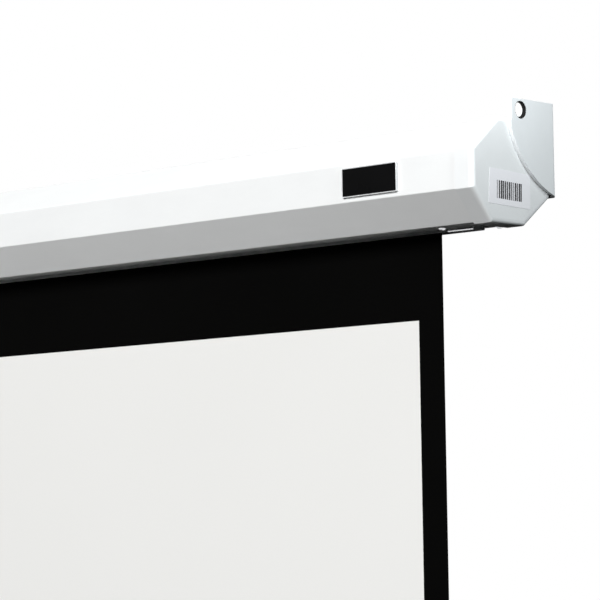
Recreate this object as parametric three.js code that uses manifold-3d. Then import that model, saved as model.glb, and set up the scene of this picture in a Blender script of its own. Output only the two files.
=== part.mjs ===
// Pull down projection screen: a folded steel case with moulded end caps and wall brackets, a spring
// roller that locks, a black bordered sheet, and a weighted bottom bar with a swinging pull handle.
// Millimetres, +Z up. X runs along the case, -Y faces the audience and the wall is the plane y = 0.
// The origin is at mid span, on the wall, level with the top edges of the brackets.
// Inside the case frame, depth runs back from the front of the end caps and height runs up from
// their underside. Every section is drawn in (depth, height).

import * as THREE from 'three';
import { mergeVertices } from 'three/addons/utils/BufferGeometryUtils.js';
import Module from 'manifold-3d';

const wasm = await Module();
wasm.setup();

// Sheet
const viewingWidth = 1524;
const viewingHeight = 1524;
const sideBorder = 22.5;
const topDrop = 60;
const bottomBorder = 22.5;
const sheetThickness = 0.35;
const turnsLeftOnRoller = 2;

// Fits
const seatGap = 0.3;
const runningGap = 0.3;
const cutOverrun = 1;

// End cap outline: an octagon, its corners as shares of its depth and height
const capDepth = 82.6;
const capHeight = 73;
const frontLowHeightShare = 0.308;
const frontHighHeightShare = 0.686;
const topFrontDepthShare = 0.335;
const topRearDepthShare = 0.665;
const rearHighHeightShare = 0.686;
const rearLowHeightShare = 0.295;
const bottomRearDepthShare = 0.663;
const bottomFrontDepthShare = 0.235;

// End cap moulding
const capOverSheetEdge = 62.5;
const capRimWidth = 15.5;
const capFaceThickness = 3;
const capEdgeRadius = 3.5;
const capEdgeSteps = 4;
const capStep = 1.4;
const spigotReach = 30;
const spigotWall = 2;
const ribThickness = 1.8;
const ribSetBack = 4;
const capBossHalfWidth = 4.5;
const capBossHeight = 8;

// Folded steel case, with a slot for the sheet between two hemmed lips
const caseWall = 1;
const caseBendRadius = 1.5;
const slotBeforeSheet = 3;
const slotBehindSheet = 8;
const hemHeight = 4;

// Wall bracket
const bracketTopHeight = 87;
const bracketTopWidth = 47.5;
const bracketShoulderDrop = 14.5;
const bracketArcStartDrop = 16.7;
const bracketThickness = 2.5;
const bracketCornerRadius = 1.5;
const bracketArcBehindWall = 20;
const bracketArcAboveTop = 5;
const bracketArcRadius = 73;
const bracketArcSteps = 16;
const bracketBendRadius = 1.5;
const flangeFromCap = 1.9;
const flangeWidth = 32;
const flangeCornerRadius = 4;
const keyholeRadius = 4.6;
const keyholeSlotRadius = 2.6;
const keyholeRise = 9;
const upperKeyholeDrop = 19;
const lowerKeyholeDrop = 51;
const keyholeFromFace = 15;

// Lined hanging hole in the bracket plate
const hangingHoleRadius = 6.3;
const hangingHoleFrontMargin = 3.2;
const hangingHoleTopMargin = 1.4;
const bushWall = 0.8;
const bushOffset = 0.35;

// Screws: head radius, head height and shank radius
const sheetMetalScrew = { head: 2.7, headHeight: 1.5, shank: 1.5 };
const bracketScrew = { head: 3.6, headHeight: 2, shank: 1.9 };
const capScrewFromFace = 19.5;
const rearScrewFromSlot = 3;
const bracketScrewUpper = { fromRear: 24.6, height: 58 };
const bracketScrewLower = { fromRear: 11.6, height: 47 };
const bracketScrewBite = 1.6;
const capScrewBite = 5;

// Roller and its supports
const rollerDepthShare = 0.68372;
const rollerHeightShare = 0.49315;
const tubeRadius = 15;
const tubeWall = 1;
const tubePastSheet = 3.5;
const plugSpigotLength = 24;
const plugFlangeRadius = 17;
const plugFlangeThickness = 3;
const supportFromTube = 13;
const supportThickness = 1.5;
const supportFootWidth = 12;
const supportClearance = 0.6;
const frontFootBackMargin = 1.2;
const rearFootWidth = 3.8;
const supportRivetHeight = 1.2;
const supportRivetRadius = 4.5;

// Plain end of the roller
const idlerPinRadius = 4;
const idlerTenonRadius = 3;
const idlerPinReach = 20;
const idlerBushWall = 1.2;

// Spring end of the roller
const shaftRadius = 4;
const shaftFlat = 5;
const tongueReach = 1.5;
const springTurns = 36;
const springPitch = 4;
const springWire = 2.2;
const springMeanRadius = 8;
const springFromPlug = 8;
const collarThickness = 10;
const collarRadius = 11;
const springPlugThickness = 12;
const shaftPastPlug = 6;

// Lock: a notched wheel on the fixed shaft and two pawls on the turning plug
const wheelRadius = 8;
const wheelThickness = 5;
const wheelFromPlug = 2.2;
const notchCount = 4;
const notchAngle = 33;
const notchHalfWidth = 2.1;
const notchFloorRadius = 5.4;
const pawlPivotRadius = 13;
const pawlThickness = 4;
const pawlBossRadius = 2.6;
const pawlHalfWidth = 1.2;
const pawlElbow = { across: 8.3, up: 8 };
const pawlTip = { across: 5.2, up: 3.4 };
const pawlTipRadius = 0.9;
const pawlOpenAngle = 16;
const pawlPinRadius = 1.5;
const pawlPinHeadRadius = 2.4;
const pawlPinHeadHeight = 0.8;
const pawlPinGrip = 2;

// Bottom bar
const barPastSheet = 3;
const barHeight = 26;
const barRadius = 7;
const barTopHalfWidth = 3.6;
const barWall = 1.2;
const barSlotHalfWidth = 1;
const barCapThickness = 3;
const barCapSpigot = 12;
const barEdgeRadius = 1;
const barEdgeSteps = 2;
const hemRodRadius = 2.2;
const hemRodShorter = 4;

// Pull handle
const saddleHalfLength = 25;
const saddleHalfWidth = 9;
const saddleTopDrop = 17;
const saddleBottomDrop = 34;
const saddleCornerRadius = 3;
const pivotDrop = 29.5;
const bailRadius = 3;
const bailHalfWidth = 31;
const bailDrop = 34;
const bailTopCorner = 4.5;
const bailLowCorner = 12;
const bailPinReach = 8;
const bailHoleDeeper = 0.5;
const handleScrew = { head: 3.1, headHeight: 2, shank: 1.6 };
const handleScrewSpacing = 24;
const handleScrewRecess = 2.5;
const handleScrewBite = 2;

// Badge plate on the front of the case
const badgeWidth = 51.5;
const badgeHeight = 20.8;
const badgeThickness = 1.5;
const badgeFromFace = 68.2;
const badgeRise = 0.4;

// Facets round each kind of circle
const roundSteps = 32;
const smallRoundSteps = 16;
const cornerSteps = 6;
const bendSteps = 3;
const barRoundSteps = 20;
const wireSides = 5;
const wireStepsPerTurn = 8;
const bailSides = 10;
const bailSteps = 54;
const weldDistance = 0.0001;

// Sizes that follow
const halfSheet = viewingWidth / 2 + sideBorder;
const capFace = halfSheet + capOverSheetEdge;
const sheetDrop = topDrop + viewingHeight + bottomBorder;
const caseEnd = capFace - capFaceThickness - seatGap;
const wrapThickness = turnsLeftOnRoller * sheetThickness;
const wrapInnerRadius = tubeRadius + seatGap;
const wrapRadius = wrapInnerRadius + wrapThickness;
const rollerDepth = capDepth * rollerDepthShare;
const rollerHeight = capHeight * rollerHeightShare;
const sheetDepth = rollerDepth - wrapRadius - seatGap - sheetThickness / 2;
const frontLipDepth = sheetDepth - slotBeforeSheet;
const rearLipDepth = sheetDepth + slotBehindSheet;
const rearLipScrewDepth = rearLipDepth + rearScrewFromSlot;
const tubeEnd = halfSheet + tubePastSheet;
const supportFace = tubeEnd + supportFromTube;
const plugOuterFace = tubeEnd + seatGap + plugFlangeThickness;
const supportScrewX = supportFace - supportFootWidth / 2;
const frontFootStart = capDepth * bottomFrontDepthShare + capStep;
const frontFootEnd = frontLipDepth - caseWall - frontFootBackMargin;
const frontLipScrewDepth = (frontFootStart + frontFootEnd) / 2;
const wallDepth = capDepth + flangeFromCap + bracketThickness;
const bracketFrontDepth = wallDepth - bracketTopWidth;
const bracketArcHeight = bracketTopHeight + bracketArcAboveTop;
const bracketLowHeight = bracketArcHeight - Math.sqrt(bracketArcRadius ** 2 - bracketArcBehindWall ** 2);
const hangingHole = {
  depth: bracketFrontDepth + hangingHoleFrontMargin + hangingHoleRadius,
  height: bracketTopHeight - hangingHoleTopMargin - hangingHoleRadius,
};
const capOutline = [
  [0, capHeight * frontLowHeightShare],
  [capDepth * bottomFrontDepthShare, 0],
  [capDepth * bottomRearDepthShare, 0],
  [capDepth, capHeight * rearLowHeightShare],
  [capDepth, capHeight * rearHighHeightShare],
  [capDepth * topRearDepthShare, capHeight],
  [capDepth * topFrontDepthShare, capHeight],
  [0, capHeight * frontHighHeightShare],
];
const caseOuter = insetOutline(capOutline, capStep);
const caseInner = insetOutline(caseOuter, caseWall);
const caseUnderside = capStep;
const lipTop = capStep + caseWall;

// Directions for extrusions
const alongXBasis = basis([0, 1, 0], [0, 0, 1], [1, 0, 0]);
const alongYBasis = basis([1, 0, 0], [0, 0, 1], [0, -1, 0]);

function basis(first, second, third) {
  return new THREE.Matrix4().makeBasis(
    new THREE.Vector3(...first),
    new THREE.Vector3(...second),
    new THREE.Vector3(...third),
  );
}

// Moves every edge of a convex outline, listed anticlockwise, inwards by one distance.
function insetOutline(points, distance) {
  const edges = points.map((point, i) => {
    const next = points[(i + 1) % points.length];
    const run = [next[0] - point[0], next[1] - point[1]];
    const length = Math.hypot(...run);
    const inward = [-run[1] / length, run[0] / length];
    return { from: [point[0] + inward[0] * distance, point[1] + inward[1] * distance], run };
  });
  return edges.map((edge, i) => {
    const last = edges[(i + edges.length - 1) % edges.length];
    const cross = last.run[0] * edge.run[1] - last.run[1] * edge.run[0];
    const gap = [edge.from[0] - last.from[0], edge.from[1] - last.from[1]];
    const along = (gap[0] * edge.run[1] - gap[1] * edge.run[0]) / cross;
    return [last.from[0] + last.run[0] * along, last.from[1] + last.run[1] * along];
  });
}

// Turns each corner of a convex outline, listed anticlockwise, into a run of points round a bend.
function roundedCorners(points, radius) {
  return points.map((corner, i) => {
    const last = points[(i + points.length - 1) % points.length];
    const next = points[(i + 1) % points.length];
    const inAngle = Math.atan2(corner[1] - last[1], corner[0] - last[0]);
    const outAngle = Math.atan2(next[1] - corner[1], next[0] - corner[0]);
    const turn = (outAngle - inAngle + 4 * Math.PI) % (2 * Math.PI);
    const back = radius * Math.tan(turn / 2);
    const middle = [
      corner[0] - back * Math.cos(inAngle) - radius * Math.sin(inAngle),
      corner[1] - back * Math.sin(inAngle) + radius * Math.cos(inAngle),
    ];
    return Array.from({ length: bendSteps + 1 }, (unused, k) => {
      const angle = inAngle - Math.PI / 2 + (turn * k) / bendSteps;
      return [middle[0] + radius * Math.cos(angle), middle[1] + radius * Math.sin(angle)];
    });
  });
}

function shapeOf(points) {
  return new THREE.Shape(points.map(([across, up]) => new THREE.Vector2(across, up)));
}

// A section drawn for the right side, turned over for the left.
function onSide(shape, side) {
  return shapeOf(shape.getPoints(cornerSteps / 2).map((point) => [side * point.x, point.y]));
}

function rectangle(left, low, right, high) {
  return shapeOf([[left, low], [right, low], [right, high], [left, high]]);
}

function circle(across, up, radius) {
  const shape = new THREE.Shape();
  shape.absarc(across, up, radius, 0, 2 * Math.PI, false);
  return shape;
}

// A full circle gets the given number of facets, and so does an arc that is drawn alone.
function extruded(shape, depth, steps) {
  return new THREE.ExtrudeGeometry(shape, { depth, bevelEnabled: false, curveSegments: steps / 2 });
}

// A section in (depth, height), drawn out between two places along X.
function alongX(shape, one, other, steps = roundSteps) {
  const from = Math.min(one, other);
  const geometry = extruded(shape, Math.abs(other - one), steps);
  geometry.translate(0, 0, from);
  return toSolid(geometry.applyMatrix4(alongXBasis));
}

// A section in (x, height), drawn out between two depths.
function alongY(shape, front, rear, steps = smallRoundSteps) {
  const geometry = extruded(shape, rear - front, steps);
  geometry.translate(0, 0, -rear);
  return toSolid(geometry.applyMatrix4(alongYBasis));
}

// A section in (x, depth), drawn out between two heights.
function alongZ(shape, low, high, steps = smallRoundSteps) {
  const geometry = extruded(shape, high - low, steps);
  geometry.translate(0, 0, low);
  return toSolid(geometry);
}

// A profile of [radius, x] turned about the X axis.
function turned(profile, steps = roundSteps) {
  const points = profile.map(([radius, x]) => new THREE.Vector2(radius, x));
  const geometry = new THREE.LatheGeometry(points, steps);
  geometry.rotateZ(-Math.PI / 2);
  return toSolid(geometry);
}

function ringProfile(inner, outer, from, to) {
  return [[inner, from], [outer, from], [outer, to], [inner, to], [inner, from]];
}

function rodProfile(radius, from, to) {
  return [[0, from], [radius, from], [radius, to], [0, to]];
}

function toSolid(geometry) {
  const bare = geometry.index ? geometry.toNonIndexed() : geometry;
  bare.deleteAttribute('normal');
  bare.deleteAttribute('uv');
  const welded = mergeVertices(bare, weldDistance);
  const corners = Array.from(welded.index.array);
  const kept = [];
  for (let i = 0; i < corners.length; i += 3) {
    const [a, b, c] = corners.slice(i, i + 3);
    if (a !== b && b !== c && c !== a) kept.push(a, b, c);
  }
  const vertProperties = Float32Array.from(welded.attributes.position.array);
  const triVerts = Uint32Array.from(kept);
  return new wasm.Manifold(new wasm.Mesh({ numProp: 3, vertProperties, triVerts }));
}

function toGeometry(solid) {
  const mesh = solid.getMesh();
  const geometry = new THREE.BufferGeometry();
  geometry.setAttribute('position', new THREE.BufferAttribute(mesh.vertProperties, 3));
  geometry.setIndex(new THREE.BufferAttribute(mesh.triVerts, 1));
  geometry.computeVertexNormals();
  return geometry;
}

const finishes = {
  whitePaint: { color: 0xf2f3f2, roughness: 0.45, metalness: 0 },
  whiteMoulding: { color: 0xe6e9ea, roughness: 0.5, metalness: 0 },
  blackMoulding: { color: 0x141414, roughness: 0.5, metalness: 0 },
  blackRubber: { color: 0x0c0c0c, roughness: 0.8, metalness: 0 },
  blackGloss: { color: 0x080808, roughness: 0.25, metalness: 0 },
  blackCloth: { color: 0x0b0b0b, roughness: 0.9, metalness: 0 },
  whiteCloth: { color: 0xefeeea, roughness: 0.9, metalness: 0 },
  zincSteel: { color: 0xb9bcbf, roughness: 0.35, metalness: 1 },
  darkSteel: { color: 0x6d6f72, roughness: 0.45, metalness: 1 },
  brightSteel: { color: 0xd0d2d4, roughness: 0.25, metalness: 1 },
};

function addPiece(parent, name, solid, finish) {
  const mesh = new THREE.Mesh(toGeometry(solid), new THREE.MeshStandardMaterial(finish));
  mesh.name = name;
  parent.add(mesh);
  return mesh;
}

// Case: one folded sheet whose edges turn up into hems beside the slot.
function caseShell() {
  const front = [
    [frontLipDepth, caseUnderside + hemHeight],
    [frontLipDepth - caseWall, caseUnderside + hemHeight],
    [frontLipDepth - caseWall, lipTop],
  ];
  const rear = [
    [rearLipDepth + caseWall, lipTop],
    [rearLipDepth + caseWall, caseUnderside + hemHeight],
    [rearLipDepth, caseUnderside + hemHeight],
  ];
  const outerBends = roundedCorners(caseOuter, caseBendRadius + caseWall);
  const innerBends = roundedCorners(caseInner, caseBendRadius);
  const outerRun = [...outerBends.slice(2), ...outerBends.slice(0, 2)].flat();
  const innerRun = [...innerBends.slice(2), ...innerBends.slice(0, 2)].flat().reverse();
  const section = shapeOf([
    ...front,
    ...innerRun,
    ...rear,
    [rearLipDepth, caseUnderside],
    ...outerRun,
    [frontLipDepth, caseUnderside],
  ]);
  let shell = alongX(section, -caseEnd, caseEnd);
  const holes = [
    [capFace - capScrewFromFace, rearLipScrewDepth],
    [supportScrewX, rearLipScrewDepth],
    [supportScrewX, frontLipScrewDepth],
  ];
  for (const side of [-1, 1]) {
    for (const [x, depth] of holes) {
      shell = shell.subtract(lipHole(side * x, depth, sheetMetalScrew.shank + seatGap));
    }
  }
  return shell;
}

function lipHole(x, depth, radius) {
  return alongZ(circle(x, depth, radius), caseUnderside - cutOverrun, lipTop + cutOverrun);
}

// The hems leave this space free through anything that fits inside the case.
function hemClearance(near, far) {
  const low = caseUnderside - cutOverrun;
  const high = caseUnderside + hemHeight + seatGap;
  const front = frontLipDepth - caseWall - seatGap;
  const rear = rearLipDepth + caseWall + seatGap;
  return alongX(rectangle(front, low, rear, high), near, far);
}

// End cap: a face with a stepped rim over the case end, a ribbed spigot inside it and a screw boss.
function endCap(side) {
  const rimStart = capFace - capRimWidth;
  const blankLength = capRimWidth + 2 * capEdgeRadius;
  const rounded = new THREE.ExtrudeGeometry(shapeOf(capOutline), {
    depth: blankLength - 2 * capEdgeRadius,
    bevelThickness: capEdgeRadius,
    bevelSize: capEdgeRadius,
    bevelOffset: -capEdgeRadius,
    bevelSegments: capEdgeSteps,
    curveSegments: cornerSteps,
  });
  const middle = capFace - blankLength / 2;
  rounded.translate(0, 0, side * middle - blankLength / 2 + capEdgeRadius);
  const blank = toSolid(rounded.applyMatrix4(alongXBasis));
  const keep = alongX(shapeOf(capOutline), side * rimStart, side * (capFace + cutOverrun));
  const pocketOutline = shapeOf(insetOutline(capOutline, capStep - seatGap));
  const faceInside = capFace - capFaceThickness;
  const pocket = alongX(pocketOutline, side * (rimStart - cutOverrun), side * faceInside);
  const spigotOutline = insetOutline(caseInner, seatGap);
  const bore = insetOutline(spigotOutline, spigotWall);
  const spigotStart = capFace - capFaceThickness / 2;
  const spigotEnd = capFace - spigotReach;
  const ribEnd = spigotEnd + ribSetBack;
  const spigot = alongX(shapeOf(spigotOutline), side * spigotStart, side * spigotEnd)
    .subtract(alongX(shapeOf(bore), side * faceInside, side * (spigotEnd - cutOverrun)));
  const inside = alongX(shapeOf(spigotOutline), side * spigotStart, side * ribEnd);
  const frontRib = ribAt(capDepth * topFrontDepthShare);
  const rearRib = ribAt(capDepth * topRearDepthShare);
  const ribLow = rollerHeight - ribThickness / 2;
  const ribHigh = rollerHeight + ribThickness / 2;
  const levelRib = rectangle(0, ribLow, capDepth, ribHigh);
  const boss = rectangle(
    rearLipScrewDepth - capBossHalfWidth,
    0,
    rearLipScrewDepth + capBossHalfWidth,
    lipTop + seatGap + capBossHeight,
  );
  let cap = blank.intersect(keep).subtract(pocket).add(spigot);
  for (const section of [frontRib, rearRib, levelRib]) {
    cap = cap.add(alongX(section, side * spigotStart, side * ribEnd).intersect(inside));
  }
  const bossEnd = capFace - capScrewFromFace - capBossHalfWidth;
  cap = cap.add(alongX(boss, side * spigotStart, side * bossEnd).intersect(inside));
  cap = cap.subtract(hemClearance(side * faceInside, side * (spigotEnd - cutOverrun)));
  const screwX = side * (capFace - capScrewFromFace);
  const screwHole = circle(screwX, rearLipScrewDepth, sheetMetalScrew.shank + seatGap);
  cap = cap.subtract(alongZ(screwHole, 0, lipTop + seatGap + capScrewBite + seatGap));
  for (const place of [bracketScrewUpper, bracketScrewLower]) {
    const depth = capDepth - place.fromRear;
    const hole = circle(depth, place.height, bracketScrew.shank + seatGap);
    const holeStart = faceInside - cutOverrun;
    cap = cap.subtract(alongX(hole, side * holeStart, side * (capFace + cutOverrun), smallRoundSteps));
    const headRoom = circle(depth, place.height, bracketScrew.head + 2 * seatGap);
    cap = cap.subtract(alongX(headRoom, side * faceInside, side * (ribEnd - cutOverrun), smallRoundSteps));
  }
  return cap;
}

function ribAt(depth) {
  return rectangle(depth - ribThickness / 2, 0, depth + ribThickness / 2, capHeight);
}

// Bracket: a plate on the cap's face with a swept front edge, and a flange turned in behind the cap.
function wallBracket(side) {
  const plateStart = capFace + seatGap;
  const plateEnd = plateStart + bracketThickness;
  const plate = new THREE.Shape();
  const arcDepth = wallDepth + bracketArcBehindWall;
  const arcStart = Math.acos(-bracketArcBehindWall / bracketArcRadius);
  const arcEnd = Math.PI - Math.asin((bracketArcAboveTop + bracketArcStartDrop) / bracketArcRadius);
  plate.moveTo(wallDepth, bracketTopHeight);
  plate.lineTo(bracketFrontDepth + bracketCornerRadius, bracketTopHeight);
  plate.absarc(
    bracketFrontDepth + bracketCornerRadius,
    bracketTopHeight - bracketCornerRadius,
    bracketCornerRadius,
    Math.PI / 2,
    Math.PI,
    false,
  );
  plate.lineTo(bracketFrontDepth, bracketTopHeight - bracketShoulderDrop);
  plate.absarc(arcDepth, bracketArcHeight, bracketArcRadius, -arcEnd, -arcStart, false);
  plate.closePath();
  const flangeInner = plateEnd - flangeWidth;
  let bracket = alongX(plate, side * flangeInner, side * plateEnd, bracketArcSteps)
    .intersect(bracketFold(side, flangeInner, plateStart, plateEnd))
    .intersect(flangeBlank(side, flangeInner, plateEnd));
  const hangingCut = circle(hangingHole.depth, hangingHole.height, hangingHoleRadius);
  const cutStart = plateStart - cutOverrun;
  const cutEnd = plateEnd + cutOverrun;
  bracket = bracket.subtract(alongX(hangingCut, side * cutStart, side * cutEnd, smallRoundSteps));
  for (const drop of [lowerKeyholeDrop, upperKeyholeDrop]) {
    const x = side * (capFace - keyholeFromFace);
    bracket = bracket.subtract(keyhole(x, bracketTopHeight - drop));
  }
  for (const place of [bracketScrewUpper, bracketScrewLower]) {
    const depth = capDepth - place.fromRear;
    const hole = circle(depth, place.height, bracketScrew.shank + seatGap);
    const depthEnd = plateStart + bracketScrewBite + seatGap;
    bracket = bracket.subtract(alongX(hole, side * cutStart, side * depthEnd, smallRoundSteps));
  }
  return bracket;
}

// The bracket seen from above: the plate turns through a bend into the flange.
function bracketFold(side, flangeInner, plateStart, plateEnd) {
  const front = bracketFrontDepth - cutOverrun;
  const flangeFront = wallDepth - bracketThickness;
  const inner = bracketBendRadius;
  const outer = bracketBendRadius + bracketThickness;
  const bendDepth = wallDepth - outer;
  const bendX = plateEnd - outer;
  const fold = new THREE.Shape();
  fold.moveTo(plateStart, front);
  fold.lineTo(plateEnd, front);
  fold.lineTo(plateEnd, bendDepth);
  fold.absarc(bendX, bendDepth, outer, 0, Math.PI / 2, false);
  fold.lineTo(flangeInner, wallDepth);
  fold.lineTo(flangeInner, flangeFront);
  fold.lineTo(bendX, flangeFront);
  fold.absarc(bendX, bendDepth, inner, Math.PI / 2, 0, true);
  fold.closePath();
  const low = bracketLowHeight - cutOverrun;
  return alongZ(onSide(fold, side), low, bracketTopHeight + cutOverrun);
}

// The bracket seen from the front: the flange's free corners are rounded.
function flangeBlank(side, flangeInner, plateEnd) {
  const radius = flangeCornerRadius;
  const right = plateEnd + cutOverrun;
  const blank = new THREE.Shape();
  blank.moveTo(right, bracketLowHeight);
  blank.lineTo(right, bracketTopHeight);
  blank.lineTo(flangeInner + radius, bracketTopHeight);
  blank.absarc(flangeInner + radius, bracketTopHeight - radius, radius, Math.PI / 2, Math.PI, false);
  blank.lineTo(flangeInner, bracketLowHeight + radius);
  blank.absarc(flangeInner + radius, bracketLowHeight + radius, radius, Math.PI, 3 * Math.PI / 2, false);
  blank.closePath();
  return alongY(onSide(blank, side), bracketFrontDepth - cutOverrun, wallDepth + cutOverrun);
}

// A round entry with a narrow slot above it, so the bracket drops onto a screw head.
function keyhole(x, height) {
  const front = wallDepth - bracketThickness - cutOverrun;
  const rear = wallDepth + cutOverrun;
  const entry = alongY(circle(x, height, keyholeRadius), front, rear);
  const top = alongY(circle(x, height + keyholeRise, keyholeSlotRadius), front, rear);
  const neck = rectangle(x - keyholeSlotRadius, height, x + keyholeSlotRadius, height + keyholeRise);
  return entry.add(top).add(alongY(neck, front, rear));
}

// Lining of the hanging hole, thicker at its lower rear where the hook pulls.
function hangingBush(side) {
  const start = capFace + seatGap;
  const end = start + bracketThickness;
  const outer = circle(hangingHole.depth, hangingHole.height, hangingHoleRadius - seatGap);
  const innerRadius = hangingHoleRadius - seatGap - bushWall - bushOffset;
  const inner = circle(hangingHole.depth - bushOffset, hangingHole.height + bushOffset, innerRadius);
  return alongX(outer, side * start, side * end, smallRoundSteps)
    .subtract(alongX(inner, side * (start - cutOverrun), side * (end + cutOverrun), smallRoundSteps));
}

// Pan head screw on the X axis: the head starts at 0 and the shank points along +X.
function panScrew(size, shankLength) {
  return turned([
    [0, -size.headHeight],
    [size.head - size.headHeight / 2, -size.headHeight],
    [size.head, -size.headHeight / 2],
    [size.head, 0],
    [size.shank, 0],
    [size.shank, shankLength],
    [0, shankLength],
  ], smallRoundSteps);
}

// Support plate: fills the case section, carries the roller and stands on two feet on the lips.
function rollerSupport(side, shaftHole) {
  const outline = shapeOf(insetOutline(caseInner, supportClearance));
  const footLow = lipTop + seatGap;
  const footHigh = footLow + supportThickness;
  const footInner = supportFace - supportFootWidth;
  const footOuter = supportFace + supportThickness / 2;
  const plateEnd = supportFace + supportThickness;
  const floor = rectangle(0, 0, capDepth, footLow);
  const frontFoot = rectangle(frontFootStart, footLow, frontFootEnd, footHigh);
  const rearFoot = rectangle(
    rearLipScrewDepth - rearFootWidth / 2,
    footLow,
    rearLipScrewDepth + rearFootWidth / 2,
    footHigh,
  );
  let support = alongX(outline, side * supportFace, side * plateEnd)
    .subtract(hemClearance(side * (supportFace - cutOverrun), side * (plateEnd + cutOverrun)))
    .subtract(alongX(floor, side * (supportFace - cutOverrun), side * (plateEnd + cutOverrun)))
    .add(alongX(frontFoot, side * footInner, side * footOuter))
    .add(alongX(rearFoot, side * footInner, side * footOuter));
  for (const depth of [frontLipScrewDepth, rearLipScrewDepth]) {
    const hole = circle(side * supportScrewX, depth, sheetMetalScrew.shank + seatGap);
    support = support.subtract(alongZ(hole, footLow - cutOverrun, footHigh + cutOverrun));
  }
  const cut = alongX(shaftHole, side * (supportFace - cutOverrun), side * (plateEnd + cutOverrun));
  return support.subtract(cut);
}

function supportPinHole() {
  return circle(rollerDepth, rollerHeight, idlerTenonRadius + seatGap);
}

function supportTongueHole() {
  const halfWidth = shaftFlat / 2 + seatGap;
  const halfHeight = shaftRadius + seatGap;
  return rectangle(
    rollerDepth - halfWidth,
    rollerHeight - halfHeight,
    rollerDepth + halfWidth,
    rollerHeight + halfHeight,
  );
}

// Plain end pin: riveted into the support, with a shoulder against its inner face.
function idlerPin() {
  const shoulder = supportFace - seatGap;
  const outside = supportFace + supportThickness + seatGap;
  return turned([
    [0, plugOuterFace - idlerPinReach],
    [idlerPinRadius, plugOuterFace - idlerPinReach],
    [idlerPinRadius, shoulder],
    [idlerTenonRadius, shoulder],
    [idlerTenonRadius, outside],
    [supportRivetRadius, outside],
    [supportRivetRadius - supportRivetHeight / 2, outside + supportRivetHeight],
    [0, outside + supportRivetHeight],
  ]);
}

// A plug that fills the end of the tube, with a flange outside it.
function rollerPlug(boreRadius) {
  const spigotRadius = tubeRadius - tubeWall - seatGap;
  const flangeStart = tubeEnd + seatGap;
  const inner = tubeEnd - plugSpigotLength;
  return turned([
    [boreRadius, inner],
    [spigotRadius, inner],
    [spigotRadius, flangeStart],
    [plugFlangeRadius, flangeStart],
    [plugFlangeRadius, plugOuterFace],
    [boreRadius, plugOuterFace],
    [boreRadius, inner],
  ]);
}

// Fixed shaft of the spring end, with a flat tongue in the support.
function springShaft() {
  const start = -(supportFace + supportThickness + tongueReach);
  const shoulder = -(supportFace - seatGap);
  const rod = turned(rodProfile(shaftRadius, start, springEnd() + shaftPastPlug));
  const cheek = rectangle(shaftFlat / 2, -tubeRadius, tubeRadius, tubeRadius);
  const otherCheek = rectangle(-tubeRadius, -tubeRadius, -shaftFlat / 2, tubeRadius);
  return rod
    .subtract(alongX(cheek, start - cutOverrun, shoulder))
    .subtract(alongX(otherCheek, start - cutOverrun, shoulder));
}

function collarStart() {
  return -(tubeEnd - plugSpigotLength - springFromPlug);
}

function springStart() {
  return collarStart() + collarThickness + seatGap + springWire / 2;
}

function springEnd() {
  return springStart() + springTurns * springPitch + springWire / 2 + seatGap + springPlugThickness;
}

// Torsion spring: one helix of round wire, as a ring of points at every step.
function torsionSpring() {
  const steps = springTurns * wireStepsPerTurn;
  const rings = [];
  for (let i = 0; i <= steps; i += 1) {
    const angle = (i / wireStepsPerTurn) * 2 * Math.PI;
    const centre = new THREE.Vector3(
      springStart() + (i / wireStepsPerTurn) * springPitch,
      springMeanRadius * Math.cos(angle),
      springMeanRadius * Math.sin(angle),
    );
    const outward = new THREE.Vector3(0, Math.cos(angle), Math.sin(angle));
    const forward = new THREE.Vector3(1, 0, 0);
    const ring = [];
    for (let k = 0; k < wireSides; k += 1) {
      const turn = (k / wireSides) * 2 * Math.PI;
      const point = centre.clone();
      point.addScaledVector(outward, Math.cos(turn) * springWire / 2);
      point.addScaledVector(forward, Math.sin(turn) * springWire / 2);
      ring.push(point);
    }
    rings.push(ring);
  }
  reportSpringGap(rings);
  return toSolid(tubeFromRings(rings));
}

// Least distance between the wires of neighbouring turns, measured on the ring points.
function reportSpringGap(rings) {
  let least = Infinity;
  for (let i = wireStepsPerTurn; i < rings.length; i += 1) {
    for (const point of rings[i]) {
      for (const other of rings[i - wireStepsPerTurn]) {
        least = Math.min(least, point.distanceTo(other));
      }
    }
  }
  console.log(`torsion spring: least gap between turns ${least.toFixed(2)} mm`);
}

function tubeFromRings(rings) {
  const sides = rings[0].length;
  const positions = rings.flat().flatMap((point) => [point.x, point.y, point.z]);
  const index = [];
  for (let i = 0; i < rings.length - 1; i += 1) {
    for (let k = 0; k < sides; k += 1) {
      const a = i * sides + k;
      const b = i * sides + (k + 1) % sides;
      index.push(a, b + sides, b, a, a + sides, b + sides);
    }
  }
  const last = (rings.length - 1) * sides;
  for (let k = 1; k < sides - 1; k += 1) {
    index.push(0, k, k + 1);
    index.push(last, last + k + 1, last + k);
  }
  const geometry = new THREE.BufferGeometry();
  geometry.setAttribute('position', new THREE.Float32BufferAttribute(positions, 3));
  geometry.setIndex(index);
  return geometry;
}

// Notched wheel that the pawls catch.
function ratchetWheel() {
  const outer = -(plugOuterFace + wheelFromPlug + wheelThickness);
  const inner = -(plugOuterFace + wheelFromPlug);
  let wheel = turned(ringProfile(shaftRadius + seatGap, wheelRadius, outer, inner));
  for (let i = 0; i < notchCount; i += 1) {
    const notch = rectangle(notchFloorRadius, -notchHalfWidth, wheelRadius + cutOverrun, notchHalfWidth);
    const geometry = extruded(notch, wheelThickness + 2 * cutOverrun, smallRoundSteps);
    geometry.rotateZ(THREE.MathUtils.degToRad(notchAngle) + (i / notchCount) * 2 * Math.PI);
    geometry.translate(0, 0, outer - cutOverrun);
    wheel = wheel.subtract(toSolid(geometry.applyMatrix4(alongXBasis)));
  }
  return wheel;
}

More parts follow.
